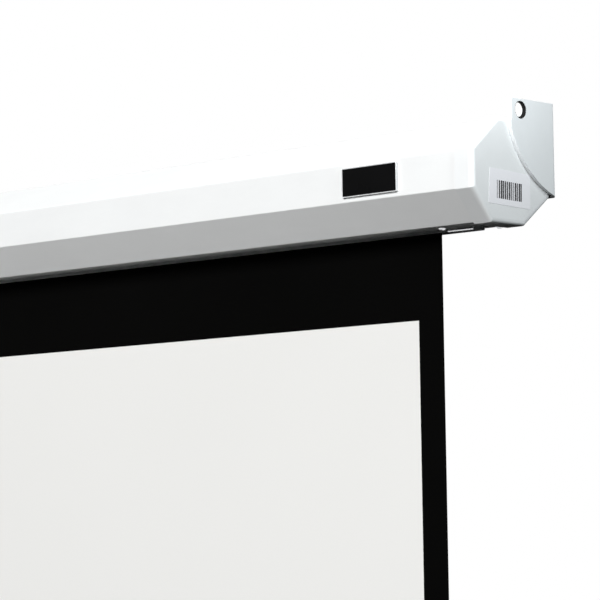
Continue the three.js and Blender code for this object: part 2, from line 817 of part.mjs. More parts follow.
// Pawl about its own pivot: a boss, an arm that clears the wheel and a tooth that drops into a notch.
function pawl() {
  const open = THREE.MathUtils.degToRad(pawlOpenAngle);
  const elbow = swung(pawlElbow, open);
  const tip = swung(pawlTip, open);
  const half = pawlThickness / 2;
  const boss = alongX(circle(0, 0, pawlBossRadius), -half, half, smallRoundSteps);
  const arm = bandBetween([0, 0], elbow, pawlHalfWidth, pawlHalfWidth, half);
  const tooth = bandBetween(elbow, tip, pawlHalfWidth, pawlTipRadius, half);
  const corner = alongX(circle(...elbow, pawlHalfWidth), -half, half, smallRoundSteps);
  const bore = circle(0, 0, pawlPinRadius + runningGap);
  const hole = alongX(bore, -half - cutOverrun, half + cutOverrun, smallRoundSteps);
  return boss.add(arm).add(corner).add(tooth).subtract(hole);
}

// A place on the engaged pawl, about its pivot, after it has swung open.
function swung(place, angle) {
  const across = place.across;
  const up = place.up - pawlPivotRadius;
  return [
    across * Math.cos(angle) - up * Math.sin(angle),
    across * Math.sin(angle) + up * Math.cos(angle),
  ];
}

// A flat tapering band from one point to another.
function bandBetween(from, to, fromHalf, toHalf, half) {
  const run = [to[0] - from[0], to[1] - from[1]];
  const length = Math.hypot(...run);
  const aside = [-run[1] / length, run[0] / length];
  const corner = (point, offset) => [point[0] + aside[0] * offset, point[1] + aside[1] * offset];
  const band = shapeOf([
    corner(from, -fromHalf),
    corner(to, -toHalf),
    corner(to, toHalf),
    corner(from, fromHalf),
  ]);
  return alongX(band, -half, half);
}

function pawlPin() {
  const pawlFar = pawlMiddle() - pawlThickness / 2 - seatGap;
  const flangeIn = -plugOuterFace + pawlPinGrip;
  return turned([
    [0, pawlFar - pawlPinHeadHeight],
    [pawlPinHeadRadius, pawlFar - pawlPinHeadHeight],
    [pawlPinHeadRadius, pawlFar],
    [pawlPinRadius, pawlFar],
    [pawlPinRadius, flangeIn],
    [0, flangeIn],
  ], smallRoundSteps);
}

function pawlMiddle() {
  return -(plugOuterFace + wheelFromPlug + wheelThickness / 2);
}

function springRollerPlug() {
  let plug = rollerPlug(shaftRadius + 2 * runningGap);
  const pinDepth = plugOuterFace - pawlPinGrip - seatGap;
  for (const up of [pawlPivotRadius, -pawlPivotRadius]) {
    const hole = circle(0, up, pawlPinRadius + seatGap);
    plug = plug.subtract(alongX(hole, pinDepth, plugOuterFace + cutOverrun, smallRoundSteps));
  }
  return plug;
}

// Bottom bar: a rolled tube, narrow at the top where the sheet enters through a slot.
function barOutline(inset) {
  const centre = -(barHeight - barRadius);
  const radius = barRadius - inset;
  const half = barTopHalfWidth - inset;
  const shape = new THREE.Shape();
  shape.moveTo(half, -Math.max(inset, 0));
  shape.lineTo(-half, -Math.max(inset, 0));
  shape.lineTo(-radius, centre);
  shape.absarc(0, centre, radius, Math.PI, 2 * Math.PI, false);
  shape.closePath();
  return shape;
}

function barHalfLength() {
  return halfSheet + barPastSheet;
}

function bottomBar() {
  const half = barHalfLength();
  const slot = rectangle(-barSlotHalfWidth, -barWall - cutOverrun, barSlotHalfWidth, cutOverrun);
  let bar = alongX(barOutline(0), -half, half, barRoundSteps)
    .subtract(alongX(barOutline(barWall), -half - cutOverrun, half + cutOverrun, barRoundSteps))
    .subtract(alongX(slot, -half - cutOverrun, half + cutOverrun));
  for (const side of [-1, 1]) {
    const hole = circle(side * handleScrewSpacing / 2, 0, handleScrew.shank + seatGap);
    bar = bar.subtract(alongZ(hole, -barHeight - cutOverrun, -barHeight + barWall + cutOverrun));
  }
  return bar;
}

function barCap(side) {
  const inner = barHalfLength() + seatGap;
  const plate = new THREE.ExtrudeGeometry(barOutline(0), {
    depth: barCapThickness - 2 * barEdgeRadius,
    bevelThickness: barEdgeRadius,
    bevelSize: barEdgeRadius,
    bevelOffset: -barEdgeRadius,
    bevelSegments: barEdgeSteps,
    curveSegments: barRoundSteps / 2,
  });
  const middle = side * (inner + barCapThickness / 2);
  plate.translate(0, 0, middle - barCapThickness / 2 + barEdgeRadius);
  const spigotRadius = barRadius - barWall - seatGap;
  const spigot = circle(0, -(barHeight - barRadius), spigotRadius);
  return toSolid(plate.applyMatrix4(alongXBasis))
    .add(alongX(spigot, side * (inner - barCapSpigot), side * (inner + barCapThickness / 2), barRoundSteps));
}

// Saddle under the middle of the bar, with a blind hole in each end for the handle's pins.
function handleSaddle() {
  const block = new THREE.Shape();
  const low = -saddleBottomDrop;
  const corner = saddleCornerRadius;
  block.moveTo(saddleHalfWidth, -saddleTopDrop);
  block.lineTo(-saddleHalfWidth, -saddleTopDrop);
  block.lineTo(-saddleHalfWidth, low + corner);
  block.absarc(-saddleHalfWidth + corner, low + corner, corner, Math.PI, 3 * Math.PI / 2, false);
  block.absarc(saddleHalfWidth - corner, low + corner, corner, 3 * Math.PI / 2, 2 * Math.PI, false);
  block.closePath();
  let saddle = alongX(block, -saddleHalfLength, saddleHalfLength, cornerSteps);
  const cutEnd = saddleHalfLength + cutOverrun;
  saddle = saddle.subtract(alongX(barOutline(-seatGap), -cutEnd, cutEnd, barRoundSteps));
  for (const side of [-1, 1]) {
    const hole = circle(0, -pivotDrop, bailRadius + runningGap);
    const deep = saddleHalfLength - bailPinReach - bailHoleDeeper;
    saddle = saddle.subtract(alongX(hole, side * deep, side * cutEnd, smallRoundSteps));
    const x = side * handleScrewSpacing / 2;
    const shank = circle(x, 0, handleScrew.shank + seatGap);
    const head = circle(x, 0, handleScrew.head + seatGap);
    saddle = saddle.subtract(alongZ(shank, low - cutOverrun, -saddleTopDrop));
    saddle = saddle.subtract(alongZ(head, low - cutOverrun, low + handleScrewRecess));
  }
  return saddle;
}

// Pull handle: a round bail about its pivot line, from one pin round to the other.
function pullHandle() {
  const pinEnd = saddleHalfLength - bailPinReach;
  const top = bailTopCorner;
  const low = bailLowCorner;
  const path = new THREE.CurvePath();
  const at = (x, z) => new THREE.Vector3(x, 0, z);
  const line = (from, to) => path.add(new THREE.LineCurve3(from, to));
  const bend = (from, corner, to) => path.add(new THREE.QuadraticBezierCurve3(from, corner, to));
  const across = bailHalfWidth;
  line(at(-pinEnd, 0), at(-across + top, 0));
  bend(at(-across + top, 0), at(-across, 0), at(-across, -top));
  line(at(-across, -top), at(-across, -bailDrop + low));
  bend(at(-across, -bailDrop + low), at(-across, -bailDrop), at(-across + low, -bailDrop));
  line(at(-across + low, -bailDrop), at(across - low, -bailDrop));
  bend(at(across - low, -bailDrop), at(across, -bailDrop), at(across, -bailDrop + low));
  line(at(across, -bailDrop + low), at(across, -top));
  bend(at(across, -top), at(across, 0), at(across - top, 0));
  line(at(across - top, 0), at(pinEnd, 0));
  const geometry = new THREE.ExtrudeGeometry(circle(0, 0, bailRadius), {
    steps: bailSteps,
    extrudePath: path,
    curveSegments: bailSides / 2,
  });
  return toSolid(geometry);
}

function badgePlate() {
  const right = capFace - badgeFromFace;
  const frontMiddle = capHeight * (frontLowHeightShare + frontHighHeightShare) / 2;
  const low = frontMiddle + badgeRise - badgeHeight / 2;
  const plate = rectangle(right - badgeWidth, low, right, low + badgeHeight);
  const rear = capStep - seatGap;
  return alongY(plate, rear - badgeThickness, rear);
}

function screenSheet() {
  const sheet = rectangle(
    sheetDepth - sheetThickness / 2,
    -sheetDrop - barWall - sheetThickness,
    sheetDepth + sheetThickness / 2,
    rollerHeight,
  );
  return alongX(sheet, -halfSheet, halfSheet);
}

const screen = new THREE.Group();
const caseFrame = new THREE.Group();
caseFrame.position.set(0, -wallDepth, -bracketTopHeight);
screen.add(caseFrame);

addPiece(caseFrame, 'case_shell', caseShell(), finishes.whitePaint);
addPiece(caseFrame, 'badge_plate', badgePlate(), finishes.blackGloss);

const supportHoles = { right: supportPinHole(), left: supportTongueHole() };
for (const [label, side] of [['right', 1], ['left', -1]]) {
  addPiece(caseFrame, `end_cap_${label}`, endCap(side), finishes.whiteMoulding);
  addPiece(caseFrame, `bracket_${label}`, wallBracket(side), finishes.whitePaint);
  addPiece(caseFrame, `hanging_bush_${label}`, hangingBush(side), finishes.blackRubber);
  const support = rollerSupport(side, supportHoles[label]);
  addPiece(caseFrame, `roller_support_${label}`, support, finishes.zincSteel);
  addLipScrews(label, side);
  addBracketScrews(label, side);
}

function addLipScrews(label, side) {
  const places = [
    [`cap_screw_${label}`, capFace - capScrewFromFace, rearLipScrewDepth, capScrewBite],
    [`support_screw_${label}_front`, supportScrewX, frontLipScrewDepth, supportThickness],
    [`support_screw_${label}_rear`, supportScrewX, rearLipScrewDepth, supportThickness],
  ];
  for (const [name, x, depth, bite] of places) {
    const shankLength = seatGap + caseWall + seatGap + bite;
    const screw = addPiece(caseFrame, name, panScrew(sheetMetalScrew, shankLength), finishes.brightSteel);
    screw.position.set(side * x, depth, caseUnderside - seatGap);
    screw.rotation.y = -Math.PI / 2;
  }
}

function addBracketScrews(label, side) {
  const places = [['upper', bracketScrewUpper], ['lower', bracketScrewLower]];
  for (const [which, place] of places) {
    const shankLength = seatGap + capFaceThickness + seatGap + bracketScrewBite;
    const name = `bracket_screw_${label}_${which}`;
    const screw = addPiece(caseFrame, name, panScrew(bracketScrew, shankLength), finishes.zincSteel);
    const depth = capDepth - place.fromRear;
    screw.position.set(side * (capFace - capFaceThickness - seatGap), depth, place.height);
    screw.rotation.z = side > 0 ? 0 : Math.PI;
  }
}

// Everything about the roller's axis is placed by one group.
const rollerFrame = new THREE.Group();
rollerFrame.position.set(0, rollerDepth, rollerHeight);
caseFrame.add(rollerFrame);

const tubeSection = ringProfile(tubeRadius - tubeWall, tubeRadius, -tubeEnd, tubeEnd);
const wrapSection = ringProfile(wrapInnerRadius, wrapRadius, -halfSheet, halfSheet);
const bushBore = idlerPinRadius + runningGap;
const bushOuter = bushBore + idlerBushWall;
const bushSection = ringProfile(bushBore, bushOuter, tubeEnd - plugSpigotLength, plugOuterFace);
const collarSection = ringProfile(
  shaftRadius + seatGap,
  collarRadius,
  collarStart(),
  collarStart() + collarThickness,
);
const springPlugSection = ringProfile(
  shaftRadius + 2 * runningGap,
  tubeRadius - tubeWall - seatGap,
  springEnd() - springPlugThickness,
  springEnd(),
);

addPiece(rollerFrame, 'roller_tube', turned(tubeSection), finishes.zincSteel);
addPiece(rollerFrame, 'fabric_wrap', turned(wrapSection), finishes.blackCloth);
addPiece(rollerFrame, 'roller_plug_idler', rollerPlug(bushOuter + seatGap), finishes.blackMoulding);
addPiece(rollerFrame, 'idler_bush', turned(bushSection), finishes.whiteMoulding);
addPiece(rollerFrame, 'idler_pin', idlerPin(), finishes.darkSteel);
addPiece(rollerFrame, 'spring_shaft', springShaft(), finishes.darkSteel);
addPiece(rollerFrame, 'spring_collar', turned(collarSection), finishes.blackMoulding);
addPiece(rollerFrame, 'torsion_spring', torsionSpring(), finishes.darkSteel);
addPiece(rollerFrame, 'spring_plug', turned(springPlugSection), finishes.blackMoulding);
addPiece(rollerFrame, 'ratchet_wheel', ratchetWheel(), finishes.zincSteel);
const springPlugSolid = springRollerPlug();
const springSidePlug = addPiece(rollerFrame, 'roller_plug_spring', springPlugSolid, finishes.blackMoulding);
springSidePlug.rotation.z = Math.PI;

for (const [label, turn] of [['upper', 0], ['lower', Math.PI]]) {
  const lockSide = new THREE.Group();
  lockSide.rotation.x = turn;
  rollerFrame.add(lockSide);
  const pin = addPiece(lockSide, `pawl_pin_${label}`, pawlPin(), finishes.brightSteel);
  pin.position.z = pawlPivotRadius;
  const lockPawl = addPiece(lockSide, `pawl_${label}`, pawl(), finishes.zincSteel);
  lockPawl.position.set(pawlMiddle(), 0, pawlPivotRadius);
}

addPiece(caseFrame, 'screen_sheet', screenSheet(), finishes.whiteCloth);

// The bar hangs in its own group, drawn down from its top edge.
const barFrame = new THREE.Group();
barFrame.position.set(0, sheetDepth, -sheetDrop);
caseFrame.add(barFrame);

const rodHalf = halfSheet - hemRodShorter;
const rodSolid = turned(rodProfile(hemRodRadius, -rodHalf, rodHalf), smallRoundSteps);
const hemRod = addPiece(barFrame, 'hem_rod', rodSolid, finishes.whiteMoulding);
hemRod.position.z = -(barWall + sheetThickness + seatGap + hemRodRadius);
addPiece(barFrame, 'bottom_bar', bottomBar(), finishes.whitePaint);
addPiece(barFrame, 'bar_cap_right', barCap(1), finishes.blackMoulding);
addPiece(barFrame, 'bar_cap_left', barCap(-1), finishes.blackMoulding);
addPiece(barFrame, 'handle_saddle', handleSaddle(), finishes.blackMoulding);

for (const [label, side] of [['right', 1], ['left', -1]]) {
  const headFace = -saddleBottomDrop + handleScrewRecess;
  const shankLength = saddleBottomDrop - handleScrewRecess - barHeight + handleScrewBite;
  const solid = panScrew(handleScrew, shankLength);
  const screw = addPiece(barFrame, `handle_screw_${label}`, solid, finishes.brightSteel);
  screw.position.set(side * handleScrewSpacing / 2, 0, headFace - seatGap);
  screw.rotation.y = -Math.PI / 2;
}

const bail = addPiece(barFrame, 'pull_handle', pullHandle(), finishes.blackMoulding);
bail.position.z = -pivotDrop;

export default screen;
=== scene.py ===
# Looks of a pull down projection screen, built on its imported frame. Metres, +Z up, X along the case.

import math

import bmesh
import bpy
import numpy as np
from bpy.props import FloatProperty, FloatVectorProperty, PointerProperty
from mathutils import Matrix, Vector


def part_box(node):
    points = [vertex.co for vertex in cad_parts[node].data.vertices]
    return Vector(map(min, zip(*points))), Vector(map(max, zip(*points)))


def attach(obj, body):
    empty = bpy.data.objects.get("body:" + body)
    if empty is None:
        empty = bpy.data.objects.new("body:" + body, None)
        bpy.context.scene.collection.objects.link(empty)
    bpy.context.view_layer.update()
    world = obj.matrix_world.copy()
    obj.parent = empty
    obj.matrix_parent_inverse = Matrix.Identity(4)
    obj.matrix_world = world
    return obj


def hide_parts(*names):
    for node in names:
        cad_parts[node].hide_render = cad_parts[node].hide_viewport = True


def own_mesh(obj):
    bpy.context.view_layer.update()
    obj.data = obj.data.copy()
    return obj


bl_info = {
    "name": "Pull Down Projection Screen",
    "version": (1, 0, 0),
    "blender": (4, 5, 0),
    "location": "3D View > Sidebar > Screen",
    "description": "Dresses the packed frame of a pull down projection screen",
    "category": "Object",
}

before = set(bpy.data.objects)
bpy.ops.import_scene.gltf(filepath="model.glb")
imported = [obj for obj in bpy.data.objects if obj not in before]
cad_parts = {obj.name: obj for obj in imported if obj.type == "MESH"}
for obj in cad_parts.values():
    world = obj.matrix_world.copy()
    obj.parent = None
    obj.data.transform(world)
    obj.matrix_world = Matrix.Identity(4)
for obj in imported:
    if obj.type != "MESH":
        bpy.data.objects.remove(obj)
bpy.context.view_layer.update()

MM = 0.001
SIDES = ((1, "right"), (-1, "left"))

# Sizes of the solids that their boxes don't give
GAP = 0.3 * MM
SHAFT_RADIUS = 4 * MM
PAWL_PIN_RADIUS = 1.5 * MM
TUBE_WALL = 1 * MM
WIRE_RADIUS = 1.1 * MM
CAP_ROUNDING = 3.5 * MM

# Facets round a turned piece, and sections along the case and the bottom bar
TURNED_STEPS = 72
LONG_STATIONS = 9

# How far apart the points of a CAD mesh may lie and still be one, and how bent a flat face may be
MERGE_DISTANCE = 2e-6
FLAT_ANGLE = math.radians(0.6)

# Where the photograph was taken from
CAMERA_PLACE = (2.0664, -1.5288, -0.3017)

# Places that the frame gives
CAP_LOW, CAP_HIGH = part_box("end_cap_right")
CASE_LOW, CASE_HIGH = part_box("case_shell")
BADGE_LOW, BADGE_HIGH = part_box("badge_plate")
SHEET_LOW, SHEET_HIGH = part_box("screen_sheet")
TUBE_LOW, TUBE_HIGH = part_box("roller_tube")
WRAP_LOW, WRAP_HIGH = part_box("fabric_wrap")
ROD_LOW, ROD_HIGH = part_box("hem_rod")
BAR_LOW, BAR_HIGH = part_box("bottom_bar")
SPRING_LOW, SPRING_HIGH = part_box("torsion_spring")
HANDLE_LOW, HANDLE_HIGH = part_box("pull_handle")

ROLLER_Y = (TUBE_LOW.y + TUBE_HIGH.y) / 2
ROLLER_Z = (TUBE_LOW.z + TUBE_HIGH.z) / 2
TUBE_RADIUS = (TUBE_HIGH.z - TUBE_LOW.z) / 2
SHEET_Y = (SHEET_LOW.y + SHEET_HIGH.y) / 2
ROD_Z = (ROD_LOW.z + ROD_HIGH.z) / 2
ROD_RADIUS = (ROD_HIGH.z - ROD_LOW.z) / 2
CAP_DEPTH = CAP_HIGH.y - CAP_LOW.y
CAP_HEIGHT = CAP_HIGH.z - CAP_LOW.z

# End cap outline in shares of its depth and height, front low corner first, anticlockwise
OCTAGON = (
    (0, 0.308),
    (0.235, 0),
    (0.663, 0),
    (1, 0.295),
    (1, 0.686),
    (0.665, 1),
    (0.335, 1),
    (0, 0.686),
)


# ---- Settings that a user may change ----


def length(name, description, default):
    """A size in metres that the panel shows."""
    return FloatProperty(
        name=name, description=description, default=default, min=0, precision=5, unit="LENGTH", subtype="DISTANCE"
    )


def colour(name, description, default):
    """A colour that the panel shows."""
    return FloatVectorProperty(
        name=name, description=description, default=default, size=3, min=0, max=1, subtype="COLOR"
    )


def angle(name, description, degrees):
    """An angle that the panel shows in degrees."""
    return FloatProperty(name=name, description=description, default=math.radians(degrees), subtype="ANGLE")


class ScreenSizes(bpy.types.PropertyGroup):
    """Sizes of the pieces that stand on the frame"""

    case_wall: length("Case wall", "Thickness of the folded case", 1 * MM)
    case_bend: length("Case bend", "Outer radius of the folds along the case", 1.2 * MM)
    cap_step: length("Cap step", "How far the end cap's rim stands proud of the case", 1.4 * MM)
    cap_corner: length("Cap corner", "Radius of the end cap's long corners", 0.9 * MM)
    bracket_edge: length("Bracket edge", "Radius of the bracket's cut edges", 0.2 * MM)
    bracket_press: length("Bracket press", "Radius of the outer edge along the bracket's sweep", 1.5 * MM)
    slot_front: length("Slot in front", "Slot in front of the sheet", 3 * MM)
    slot_rear: length("Slot behind", "Slot behind the sheet", 8 * MM)
    hem_height: length("Lip height", "Height of the lips beside the slot", 4 * MM)
    hem_drop: length("Lip drop", "How far the rolled foot of each lip stands below the case", 2.2 * MM)
    hem_width: length("Lip foot", "Width of the rolled foot of each lip", 1.4 * MM)
    side_border: length("Side border", "Width of the black border at each side", 22.5 * MM)
    top_border: length("Top border", "Black drop above the viewing surface", 96 * MM)
    bottom_border: length("Bottom border", "Height of the black border under the viewing surface", 22.5 * MM)
    cloth: length("Cloth thickness", "Thickness of the sheet", 0.35 * MM)
    sway: length("Sheet sway", "How far the hanging cloth leaves its plane", 0.7 * MM)
    badge_rim: length("Badge rim", "Width of the bright rim of the plate on the case", 0.8 * MM)
    bar_wall: length("Bar wall", "Thickness of the bottom bar's tube", 1.2 * MM)
    handle_rod: length("Handle rod", "Radius of the pull handle's rod", 3 * MM)


class ScreenFinishes(bpy.types.PropertyGroup):
    """Colours of the finishes"""

    case_paint: colour("Case paint", "Powder coat of the case and bottom bar", (0.85, 0.862, 0.862))
    bracket_paint: colour("Bracket paint", "Powder coat of the wall brackets", (0.82, 0.845, 0.855))
    moulding: colour("White moulding", "End caps", (0.84, 0.858, 0.862))
    black_moulding: colour("Black moulding", "Bar caps, saddle and handle", (0.012, 0.012, 0.013))
    viewing: colour("Viewing surface", "Matt white of the sheet", (0.815, 0.813, 0.797))
    border: colour("Border", "Black of the sheet's border and back", (0.0022, 0.0022, 0.0021))
    zinc: colour("Zinc", "Plated steel inside the case", (0.60, 0.62, 0.64))


class ScreenStage(bpy.types.PropertyGroup):
    """Camera, floor and light"""

    lens: FloatProperty(name="Lens", description="Focal length on a 36 mm sensor", default=169.98, unit="CAMERA")
    yaw: angle("Yaw", "Camera's turn to the left", 43.77)
    pitch: angle("Pitch", "Camera's tilt upwards", 4.94)
    roll: angle("Roll", "Camera's roll", -0.88)
    floor_drop: length("Floor", "Distance of the floor below the wall line", 1.95)
    key: FloatProperty(name="Key", description="Light on a surface that faces the key lamp", default=1.17, min=0)
    right: FloatProperty(name="Right fill", description="Light from the right", default=0.32, min=0)
    near: FloatProperty(name="Near lamp", description="Light of the small lamp by the right end", default=0.78, min=0)
    left: FloatProperty(name="Left fill", description="Light from the left", default=0.6, min=0)
    back: FloatProperty(name="Back fill", description="Light from behind", default=0.7, min=0)
    ambient: FloatProperty(name="Ambient", description="Even light of the surroundings", default=0.008, min=0)


# ---- Node trees ----


def node(tree, kind, inputs=None, **settings):
    """Adds a node. A socket given as an input is linked and any other value is set."""
    made = tree.nodes.new(kind)
    for name, value in settings.items():
        setattr(made, name, value)
    for name, value in (inputs or {}).items():
        values = value if isinstance(value, list) else [value]
        for one in values:
            if isinstance(one, bpy.types.NodeSocket):
                tree.links.new(one, made.inputs[name])
            else:
                made.inputs[name].default_value = one
    return made


def shader(name, base, roughness, metallic=0.0, specular=0.5, diffuse_roughness=0.0):
    """A new material and its tree, with the shader's constant values set on its own sockets."""
    material = bpy.data.materials.new(name)
    material.use_nodes = True
    tree = material.node_tree
    surface = tree.nodes["Principled BSDF"]
    surface.inputs["Base Color"].default_value = (*base, 1)
    surface.inputs["Roughness"].default_value = roughness
    surface.inputs["Metallic"].default_value = metallic
    surface.inputs["Specular IOR Level"].default_value = specular
    surface.inputs["Diffuse Roughness"].default_value = diffuse_roughness
    material.diffuse_color = (*base, 1)
    return material, tree, surface


def noise(tree, place, scale, detail=3.0, roughness=0.55):
    """Cloudy noise of 0..1 at a place."""
    made = node(
        tree,
        "ShaderNodeTexNoise",
        {"Vector": place, "Scale": scale, "Detail": detail, "Roughness": roughness},
    )
    return made.outputs["Fac"]


def spread(tree, value, low, high, start=0.3, end=0.7):
    """Spreads a value of start..end over low..high."""
    made = node(
        tree,
        "ShaderNodeMapRange",
        {"Value": value, "From Min": start, "From Max": end, "To Min": low, "To Max": high},
    )
    return made.outputs["Result"]


def blended(tree, share, one, other):
    """A mix of two colours."""
    made = node(tree, "ShaderNodeMix", {0: share, 6: (*one, 1), 7: (*other, 1)}, data_type="RGBA")
    return made.outputs[2]


def bump(tree, height, strength, distance, normal=None):
    """A normal that follows a height, on top of another one where it is given."""
    inputs = {"Height": height, "Strength": strength, "Distance": distance}
    if normal is not None:
        inputs["Normal"] = normal
    return node(tree, "ShaderNodeBump", inputs).outputs["Normal"]


def maths(tree, operation, first, second=None, third=None):
    """One step of arithmetic."""
    inputs = {0: first}
    if second is not None:
        inputs[1] = second
    if third is not None:
        inputs[2] = third
    return node(tree, "ShaderNodeMath", inputs, operation=operation).outputs[0]


def object_place(tree, scale=(1, 1, 1)):
    """Object coordinates in metres, drawn out along an axis by a small scale."""
    coordinates = node(tree, "ShaderNodeTexCoord").outputs["Object"]
    return node(tree, "ShaderNodeMapping", {"Vector": coordinates, "Scale": scale}).outputs["Vector"]


def tinted(base, factor):
    """A colour made darker or lighter by a factor."""
    return tuple(min(1.0, max(0.0, channel * factor)) for channel in base)


def powder_coat(name, base, roughness, specular):
    """Sprayed paint: fine orange peel, a slow change of film thickness and faint handling marks."""
    material, tree, surface = shader(name, base, roughness, specular=specular)
    place = object_place(tree)
    peel = noise(tree, place, scale=620, detail=2)
    film = noise(tree, place, scale=14, detail=4)
    marks = noise(tree, object_place(tree, (0.35, 1, 1)), scale=55, detail=6, roughness=0.7)
    tint = maths(tree, "MULTIPLY_ADD", marks, 0.5, maths(tree, "MULTIPLY", film, 0.5))
    share = spread(tree, tint, 0, 1, start=0.35, end=0.65)
    mixed = blended(tree, share, tinted(base, 0.975), tinted(base, 1.01))
    tree.links.new(mixed, surface.inputs["Base Color"])
    tree.links.new(spread(tree, marks, roughness - 0.05, roughness + 0.08), surface.inputs["Roughness"])
    fine = bump(tree, peel, strength=0.22, distance=0.12 * MM)
    tree.links.new(bump(tree, film, strength=0.08, distance=0.6 * MM, normal=fine), surface.inputs["Normal"])
    return material


def moulded(name, base, roughness, specular, grain=1500, depth=0.06 * MM, change=0.03):
    """Moulded plastic: spark-eroded grain, flow shading and slight polish where it is handled."""
    material, tree, surface = shader(name, base, roughness, specular=specular)
    place = object_place(tree)
    pits = noise(tree, place, grain, detail=2, roughness=0.6)
    flow = noise(tree, place, scale=30, detail=5, roughness=0.65)
    mixed = blended(tree, spread(tree, flow, 0, 1), tinted(base, 1 - change), tinted(base, 1 + change / 2))
    tree.links.new(mixed, surface.inputs["Base Color"])
    tree.links.new(spread(tree, flow, roughness - 0.06, roughness + 0.08), surface.inputs["Roughness"])
    tree.links.new(bump(tree, pits, strength=0.35, distance=depth), surface.inputs["Normal"])
    return material


def plated(name, base, roughness, spangle=0.10, streak=(1, 1, 1), grain=260):
    """Bright or oiled steel: crystal spangle, drawn streaks and a broken gloss."""
    material, tree, surface = shader(name, base, roughness, metallic=1.0)
    place = object_place(tree)
    crystals = node(tree, "ShaderNodeTexVoronoi", {"Vector": place, "Scale": grain}).outputs["Color"]
    crystal = node(tree, "ShaderNodeSeparateColor", {"Color": crystals}).outputs["Red"]
    streaks = noise(tree, object_place(tree, streak), scale=900, detail=4, roughness=0.6)
    tone = maths(tree, "MULTIPLY_ADD", crystal, 0.45, maths(tree, "MULTIPLY", streaks, 0.55))
    share = spread(tree, tone, 0, 1, start=0.2, end=0.8)
    mixed = blended(tree, share, tinted(base, 1 - spangle), tinted(base, 1 + spangle / 2))
    tree.links.new(mixed, surface.inputs["Base Color"])
    gloss = spread(tree, tone, roughness - 0.06, roughness + 0.1, start=0.2, end=0.8)
    tree.links.new(gloss, surface.inputs["Roughness"])
    tree.links.new(bump(tree, streaks, strength=0.12, distance=0.04 * MM), surface.inputs["Normal"])
    return material


def woven(name, base, specular, threads, depth, change):
    """Coated cloth: a plain weave on the piece's own map, in metres, under a matt coat."""
    material, tree, surface = shader(name, base, 0.92, specular=specular, diffuse_roughness=0.3)
    cloth = node(tree, "ShaderNodeUVMap", uv_map="cloth").outputs["UV"]
    apart = node(tree, "ShaderNodeSeparateXYZ", {"Vector": cloth})
    turn = 2 * math.pi * threads
    warp = maths(tree, "SINE", maths(tree, "MULTIPLY", apart.outputs["X"], turn))
    weft = maths(tree, "SINE", maths(tree, "MULTIPLY", apart.outputs["Y"], turn))
    weave = maths(tree, "MULTIPLY_ADD", maths(tree, "MULTIPLY", warp, weft), 0.25, 0.5)
    slub = noise(tree, cloth, scale=threads * 0.35, detail=4, roughness=0.7)
    cloudy = noise(tree, cloth, scale=6, detail=3)
    tone = maths(tree, "MULTIPLY_ADD", slub, 0.6, maths(tree, "MULTIPLY", cloudy, 0.4))
    share = spread(tree, tone, 0, 1, start=0.35, end=0.65)
    mixed = blended(tree, share, tinted(base, 1 - change), tinted(base, 1 + change))
    tree.links.new(mixed, surface.inputs["Base Color"])
    tree.links.new(spread(tree, slub, 0.86, 0.97), surface.inputs["Roughness"])
    height = maths(tree, "MULTIPLY_ADD", slub, 0.4, maths(tree, "MULTIPLY", weave, 0.6))
    tree.links.new(bump(tree, height, strength=0.3, distance=depth), surface.inputs["Normal"])
    return material


def printed_label(name):
    """Gloss paper with a row of plain bars that says nothing, drawn by a rule on the label's own map."""
    paper = (0.9, 0.9, 0.93)
    ink = (0.03, 0.03, 0.035, 1)
    columns = 21
    material, tree, surface = shader(name, paper, 0.32, specular=0.4)
    face = node(tree, "ShaderNodeUVMap", uv_map="label").outputs["UV"]
    apart = node(tree, "ShaderNodeSeparateXYZ", {"Vector": face})
    across, up = apart.outputs["X"], apart.outputs["Y"]
    place = maths(tree, "MULTIPLY", across, columns)
    column = maths(tree, "FLOOR", place)
    odd = node(tree, "ShaderNodeTexWhiteNoise", {"W": column}, noise_dimensions="1D").outputs["Value"]
    width = maths(tree, "MULTIPLY_ADD", odd, 0.5, 0.38)
    inside = maths(tree, "LESS_THAN", maths(tree, "SUBTRACT", place, column), width)
    for value, low, high in ((across, 0.195, 0.805), (up, 0.17, 0.68)):
        inside = maths(tree, "MULTIPLY", inside, maths(tree, "GREATER_THAN", value, low))
        inside = maths(tree, "MULTIPLY", inside, maths(tree, "LESS_THAN", value, high))
    fibres = spread(tree, noise(tree, face, scale=60, detail=5), 0, 1)
    stock = blended(tree, fibres, tinted(paper, 0.97), paper)
    printed = node(tree, "ShaderNodeMix", {0: inside, 6: stock, 7: ink}, data_type="RGBA")
    tree.links.new(printed.outputs[2], surface.inputs["Base Color"])
    tree.links.new(bump(tree, fibres, strength=0.1, distance=0.02 * MM), surface.inputs["Normal"])
    return material


# The materials, by the names that the pieces use
FINISH = {}


